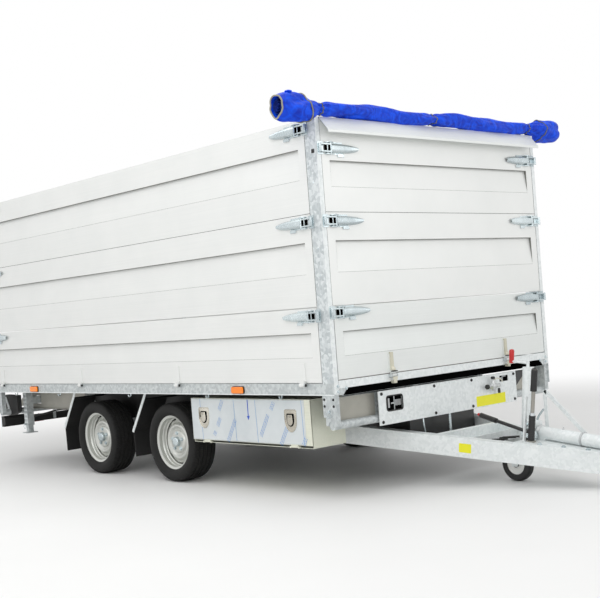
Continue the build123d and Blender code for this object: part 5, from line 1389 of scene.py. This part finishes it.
@dataclass
class Drawbar:
    """Levers, bolts and small pieces on the drawbar, in the plane of its upper faces."""

    fall: float = math.atan(DRAW_FALL)
    housing: tuple[float, float] = (1.0664, 1.7303)
    length: float = 1.6097
    jockey_axle: Vec = (1.7815, 0.0, 0.1)
    clamp_up: float = 0.086
    lever_y: float = -0.084

    def place(self, at: Vec = (0.0, 0.0, 0.0), lean: float = 0.0) -> Place:
        """Axes along the fall, across it and square to it, from a point given in the same axes.

        Args:
            at: the point, along, across and up.
            lean: forward lean of the up axis in radians.

        Returns:
            The place.
        """
        c, s = math.cos(self.fall), math.sin(self.fall)
        origin = (DRAW_ROOT[0] + at[0] * c + at[2] * s, at[1], DRAW_ROOT[1] - at[0] * s + at[2] * c)
        c, s = math.cos(self.fall + lean), math.sin(self.fall + lean)
        return Place(origin, (c, 0, -s), (0, 1, 0), (s, 0, c))

    def outer(self, at: float) -> float:
        """Distance from the middle to the V's outer face."""
        return DRAW_ROOT_Y + (DRAW_TIP[1] - DRAW_ROOT_Y) * at / self.length

    def housing_fittings(self) -> None:
        """Bolts along the housing's base, bands and grease nipples on its tube."""
        own = self.place()
        start, end = self.housing
        bolts = Shape(own)
        for step in (0.14, 0.27, 0.40, 0.50):
            for sign in (-1.0, 1.0):
                hex_bolt(bolts, (start + step, sign * (self.outer(start + step) - 0.03), 0.008), 2, 1.0,
                         0.015)
        bolts.make("housing_bolts", ZINC_BRIGHT, "chassis")
        bands = Shape(own)
        for at, width in ((start + 0.055, 0.018), (start + 0.33, 0.012), (end - 0.014, 0.026)):
            bands.disc(at - width / 2, at + width / 2, 0.0405, (0.0, 0.0, RAM_Z), 0, 40, 0.0362)
        for at in (start + 0.20, end - 0.08):
            bands.lathe([(RAM_Z + 0.035, 0.006), (RAM_Z + 0.040, 0.006), (RAM_Z + 0.042, 0.0035),
                         (RAM_Z + 0.050, 0.003), (RAM_Z + 0.051, 0.0003)], (at, 0.0, 0.0), 2, 12)
        bands.make("housing_bands", CAST_STEEL, "chassis")

    def brake_lever(self) -> None:
        """Red button, toothed sector and pivot bolt of the handbrake."""
        own = self.place()
        root = self.housing[0] + 0.025
        button = Shape(own)
        button.tube([(root - back, self.lever_y, up) for back, up in
                     ((0.334, 0.1057), (0.350, 0.1084), (0.356, 0.1093))], (0.009, 0.009, 0.006), 18)
        button.make("brake_button", RED_PLASTIC, "chassis")
        turn = np.linspace(math.radians(20), math.radians(160), 29)
        radius = np.where(np.arange(29) % 2 == 0, 0.066, 0.060)
        arc = np.stack([root + radius * np.cos(turn), 0.014 + radius * np.sin(turn)], -1)
        sector = Shape(own).prism(np.concatenate([arc, [(root - 0.03, 0.008), (root + 0.03, 0.008)]]),
                                  (-0.074, -0.070))
        hex_bolt(sector, (root, -0.0905, 0.036), 1, -1.0, 0.014)
        sector.make("brake_sector", ZINC_BRIGHT, "chassis")

    def pump(self) -> None:
        """Pump lever: ribbed black sleeve, chrome collar, black grip with a rounded top."""
        own = self.place((self.housing[0] + 0.07, -0.118, 0.008), math.radians(2))
        sleeve = Shape(own)
        heights = np.linspace(0.006, 0.150, 60)
        ribs = 0.0182 + 0.0012 * np.clip(np.sin(heights * 2 * math.pi / 0.0095), 0, 1)
        sleeve.lathe([(0.006, 0.0003), *zip(heights, ribs), (0.150, 0.0112)], (0, 0, 0), 2, 28)
        sleeve.make("pump_sleeve", BLACK_PLASTIC, "chassis")
        collar = Shape(own).lathe([(0.1502, 0.0112), (0.1502, 0.0145), (0.166, 0.0145),
                                   (0.168, 0.0112)], (0, 0, 0), 2, 28)
        collar.make("pump_collar", CHROME, "chassis")
        grip = Shape(own)
        grip.lathe([(0.286, 0.0112), (0.287, 0.0178), (0.292, 0.0185), (0.330, 0.0175), (0.395, 0.0178),
                    (0.407, 0.0170), (0.413, 0.0135), (0.4155, 0.0070), (0.416, 0.0003)], (0, 0, 0), 2,
                   28)
        grip.make("pump_grip", BLACK_PLASTIC, "chassis")
        bar = Shape(own).slab((-0.030, -0.036, 0.0), (-0.024, -0.016, 0.255))
        bar.slab((-0.030, -0.036, 0.0), (0.024, -0.016, 0.004))
        hex_bolt(bar, (-0.030, -0.026, 0.225), 0, -1.0, 0.011)
        bar.make("pump_side_bar", ZINC_PLATE, "chassis", 0.001)

    def jockey(self) -> None:
        """Jockey wheel's hubs, the clamp's screw and the crank's knob."""
        for sign in (-1.0, 1.0):
            hub = Shape(Place(self.jockey_axle, (1, 0, 0), (0, sign, 0)))
            hub.lathe([(0.0125, 0.0215), (0.0205, 0.0215), (0.0210, 0.0255), (0.0165, 0.030),
                       (0.0160, 0.052), (0.0205, 0.056), (0.0205, 0.0612), (0.0125, 0.0612)], (0, 0, 0),
                      1, 40)
            hub.make(f"jockey_hub_{'left' if sign > 0 else 'right'}", WHITE_PLATE, "jockey_wheel")
        at = self.housing[0] - 0.045
        own = self.place()
        foot = (0.216 - (DRAW_ROOT[1] - at * math.sin(self.fall))) / math.cos(self.fall)
        knob = Shape(self.place((at, 0.0, foot)))
        knob.lathe([(0.452, 0.0002), (0.453, 0.0118), (0.458, 0.0135), (0.500, 0.0145), (0.522, 0.0150),
                    (0.531, 0.0120), (0.534, 0.0002)], (-0.114, 0.0, 0.0), 2, 24)
        knob.make("crank_knob", RED_PLASTIC, "chassis")
        screw = at + 0.02
        clamp = Shape(own)
        clamp.tube([(screw, y, self.clamp_up) for y in (0.034, 0.050, 0.068)], 0.007, 14)
        clamp.tube(smooth_path([(screw, 0.064, self.clamp_up), (at + 0.03, 0.070, 0.120),
                                (at + 0.06, 0.075, 0.165)], 6), 0.006, 12)
        hex_bolt(clamp, (screw, -0.034, self.clamp_up), 1, -1.0, 0.014)
        clamp.make("jockey_clamp_screw", ZINC_BRIGHT, "chassis")

    def small_pieces(self) -> None:
        """Blank label on the near beam, and the two pale bars that stand like an A."""
        run, across = self.length, DRAW_TIP[1] - DRAW_ROOT_Y
        d = np.array([run, -across]) / math.hypot(run, across)
        c, s = math.cos(self.fall), math.sin(self.fall)
        along = (d[0] * c, d[1], -d[0] * s)
        out = (d[1] * c, -d[0], -d[1] * s)
        root = self.place((0.0, -DRAW_ROOT_Y, 0.0))
        beam = Place(root.origin, along, out, root.up)
        label = Shape(beam).prism(rounded(0.075, 0.052, 0.004, (0.83, -0.055)), (0.0, 0.0007))
        label.make("beam_label", YELLOW_FILM, "chassis")
        apex = np.array([self.housing[0] + 0.02, 0.275])
        for name, foot in (("front", self.housing[0] + 0.36), ("rear", self.housing[0] + 0.05)):
            way = np.array([foot, 0.010]) - apex
            side = 0.012 * np.array([way[1], -way[0]]) / np.linalg.norm(way)
            base = np.array([foot, 0.010])
            stay = Shape(self.place()).prism([apex - side, apex + side, base + side, base - side],
                                             (0.070, 0.074))
            hex_bolt(stay, (float(apex[0]), 0.074, float(apex[1]) - 0.01), 1, 1.0, 0.011)
            stay.make(f"lever_stay_{name}", ZINC_PLATE, "chassis", 0.0008)

    def build(self) -> None:
        """All of them."""
        self.housing_fittings()
        self.brake_lever()
        self.pump()
        self.jockey()
        self.small_pieces()


@dataclass
class Underframe:
    """Stays of the mudguards, side plates, brake cables, wiring and hangers below the bed."""

    stay_y: float = 0.9245
    panel_y: float = 0.655
    plate_y: float = 0.72
    corner_y: float = 0.90
    leg_x: float = -2.47
    sleeve_y: float = 0.848
    bolt_y: float = 0.462

    def struts(self) -> None:
        """Pale flat stay along each mudguard's outer edge, and a dark panel inside the wheels."""
        for side, sign in SIDES.items():
            outer = on_side(sign, y=self.stay_y)
            for name, x in AXLE_X.items():
                stay = Shape(outer)
                stay.prism([(x - 0.262, 0.586), (x - 0.236, 0.586), (x - 0.262, 0.545),
                            (x - 0.414, 0.328), (x - 0.420, 0.318), (x - 0.436, 0.324),
                            (x - 0.434, 0.336), (x - 0.284, 0.552)], (0.0, 0.005))
                for cx, cz in ((x - 0.300, 0.508), (x - 0.404, 0.360)):
                    hex_bolt(stay, (cx, 0.005, cz), 1, 1.0, 0.009)
                stay.make(f"guard_stay_{name}_{side}", ZINC_PLATE, "chassis", 0.0008)
            panel = Shape(on_side(sign, y=self.panel_y))
            panel.prism([(-1.70, 0.553), (-0.03, 0.553), (-0.03, 0.36), (-0.12, 0.33), (-1.60, 0.33),
                         (-1.70, 0.36)], (-0.0015, 0.0015))
            panel.make(f"splash_panel_{side}", BLACK_PLASTIC, "chassis")

    def cables(self) -> None:
        """Brake cables from the axles to the drawbar, and the wiring along the right-hand beam."""
        cables = Shape()
        for y, x in ((0.05, AXLE_X["front"]), (-0.05, AXLE_X["front"]), (0.09, AXLE_X["rear"]),
                     (-0.09, AXLE_X["rear"])):
            cables.tube(smooth_path([(x + 0.12, y * 8, 0.275), (x + 0.25, y * 3, 0.270),
                                     (x + 0.55, y, 0.262), (0.55, y * 0.6, 0.225),
                                     (1.3, y * 0.5, 0.215), (1.75, y * 0.8, 0.245)], 9), 0.0055, 10)
        cables.make("brake_cables", SMOOTH_RUBBER, "chassis")
        wiring = Shape()
        wiring.tube(smooth_path([(1.20, -0.53, 0.415), (0.5, -0.535, 0.405), (-0.5, -0.532, 0.412),
                                 (-1.5, -0.536, 0.400), (-2.35, -0.530, 0.410), (-2.62, -0.60, 0.375),
                                 (-2.72, -0.66, 0.352)], 12), 0.0075, 10)
        for y in (-0.60, 0.60):
            wiring.tube(smooth_path([(-2.05, y, 0.585), (-2.2, y * 1.08, 0.560),
                                     (-2.38, y * 1.1, 0.545), (-2.50, y * 1.0, 0.52)], 8), 0.006, 10)
        wiring.make("wiring_loom", SMOOTH_RUBBER, "chassis")

    def rear_plates(self) -> None:
        """Grey side plates from the mudguards to the prop legs, and black corner boxes behind them,
        widened so that their black is also painted shade beside them.
        """
        for side, sign in SIDES.items():
            plates = Shape(on_side(sign, y=self.plate_y))
            for x0, z0, x1, z1 in ((-2.60, 0.436, -2.506, 0.575), (-2.506, 0.544, -2.434, 0.586),
                                   (-2.506, 0.436, -2.434, 0.476), (-2.434, 0.436, -1.73, 0.586)):
                plates.slab((x0, 0.0, z0), (x1, 0.003, z1))
            plates.slab((-2.60, 0.003, 0.436), (-1.73, 0.018, 0.439))
            plates.prism([(-2.775, 0.452), (-2.60, 0.452), (-2.60, 0.575), (-2.70, 0.560),
                          (-2.775, 0.500)], (0.0, 0.003))
            plates.make(f"rear_side_plate_{side}", BRUSHED_GREY, "chassis")
            # The black box reaches further forward than the box itself: its forward part is painted
            # shade in the gap before the prop leg
            box = Shape(on_side(sign, y=self.corner_y))
            box.prism([(-2.785, 0.395), (-2.60, 0.395), (-2.502, 0.425), (-2.502, 0.560),
                       (-2.70, 0.565), (-2.785, 0.500)], (-0.04, 0.0))
            box.make(f"rear_corner_box_{side}", BLACK_PLASTIC, "chassis", 0.002)
            brace = Shape(on_side(sign, y=self.corner_y + 0.001))
            brace.prism([(-2.720, 0.402), (-2.690, 0.398), (-2.630, 0.455), (-2.680, 0.548),
                         (-2.704, 0.548), (-2.664, 0.457)], (0.0, 0.004))
            brace.make(f"rear_corner_brace_{side}", ZINC_PLATE, "chassis", 0.0008)

    def hangers(self) -> None:
        """Straps of the toolbox, ribs and pull rings of the prop legs' sleeves, bolts of the axles."""
        straps = Shape()
        for x in (0.19, 0.84):
            straps.prism([(-0.68, 0.568), (-0.545, 0.568), (-0.545, 0.480), (-0.57, 0.480),
                          (-0.677, 0.50)], (x - 0.015, x + 0.015), axis=0)
        straps.make("toolbox_straps", ZINC_PLATE, "chassis")
        for side, sign in SIDES.items():
            ribs = Shape(on_side(sign, self.leg_x, y=self.sleeve_y))
            for z in np.linspace(0.33, 0.56, 8):
                ribs.slab((-0.024, 0.0, z), (0.024, 0.003, z + 0.012))
            ribs.make(f"sleeve_ribs_{side}", ZINC_PLATE, "chassis")
            pull = Shape(on_side(sign, self.leg_x, 0.322, self.sleeve_y + 0.003))
            pull.lathe([(0.0, 0.008), (0.016, 0.008), (0.018, 0.005), (0.018, 0.0002)], (0, 0, 0), 1,
                       16)
            turn = np.linspace(0, 2 * math.pi, 25)
            pull.tube(spread(0.018 * np.sin(turn), 0.014, -0.018 + 0.018 * np.cos(turn)), 0.0018, 8)
            pull.make(f"sleeve_pin_{side}", ZINC_BRIGHT, "chassis")
            bolts = Shape()
            for x in AXLE_X.values():
                for dx in (0.11, 0.19):
                    hex_bolt(bolts, (x + dx, sign * self.bolt_y, 0.430), 2, -1.0, 0.016)
            bolts.make(f"axle_bolts_{side}", ZINC_BRIGHT, "chassis")

    def build(self) -> None:
        """All of them."""
        self.struts()
        self.rear_plates()
        self.cables()
        self.hangers()


@dataclass
class RearLights:
    """Lenses, reflectors and the blank plate on the rear light bar."""

    face: float = -2.8
    bar_face: float = -2.758
    height: float = 0.34

    def build(self) -> None:
        """Three lenses on each lamp, a triangle reflector inboard, a blank plate in the middle."""
        for side, sign in SIDES.items():
            place = on_end(self.face, -1.0, self.height, sign)
            for kind, finish, start, width in (("indicator", AMBER, 0.838, 0.056),
                                               ("stop", RED_LENS, 0.768, 0.066),
                                               ("reverse", WHITE_PLATE, 0.698, 0.066)):
                lens = Shape(place).prism(rounded(width, 0.070, 0.008, (start + width / 2, 0.0)),
                                          (0.0, 0.007))
                lens.make(f"lamp_{kind}_{side}", finish, "chassis", 0.003)
            bar = on_end(self.bar_face, -1.0, self.height, sign)
            triangle = np.array([(0.0, 0.030), (-0.035, -0.026), (0.035, -0.026)])
            reflector = Shape(bar).prism(triangle * 1.25 + np.array([0.58, -0.002]), (0.0, 0.004))
            reflector.make(f"reflector_{side}", RED_LENS, "chassis", 0.001)
        bar = on_end(self.bar_face, -1.0, self.height)
        plate = Shape(bar).prism(rounded(0.52, 0.11, 0.010), (0.002, 0.005))
        plate.make("blank_number_plate", WHITE_PLATE, "chassis", 0.0008)
        lamp = Shape(bar).slab((-0.05, 0.0, 0.058), (0.05, 0.028, 0.076))
        lamp.make("number_plate_lamp", BLACK_PLASTIC, "chassis", 0.003)


def main() -> None:
    """Loads the frame, builds each sub-assembly in order and reports it."""
    logging.basicConfig(level=logging.INFO, format="%(name)s: %(message)s")
    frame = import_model()
    for part in (Studio(), Bodywork(frame), BoardLatches(), RolledCover(), Wheels(), Toolbox(),
                 BedFittings(), FrontPlate(), Drawbar(), Underframe(), RearLights()):
        part.build()
        LOG.info("%s built, %d pieces so far", type(part).__name__, len(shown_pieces()))


if __name__ == "__main__":
    main()
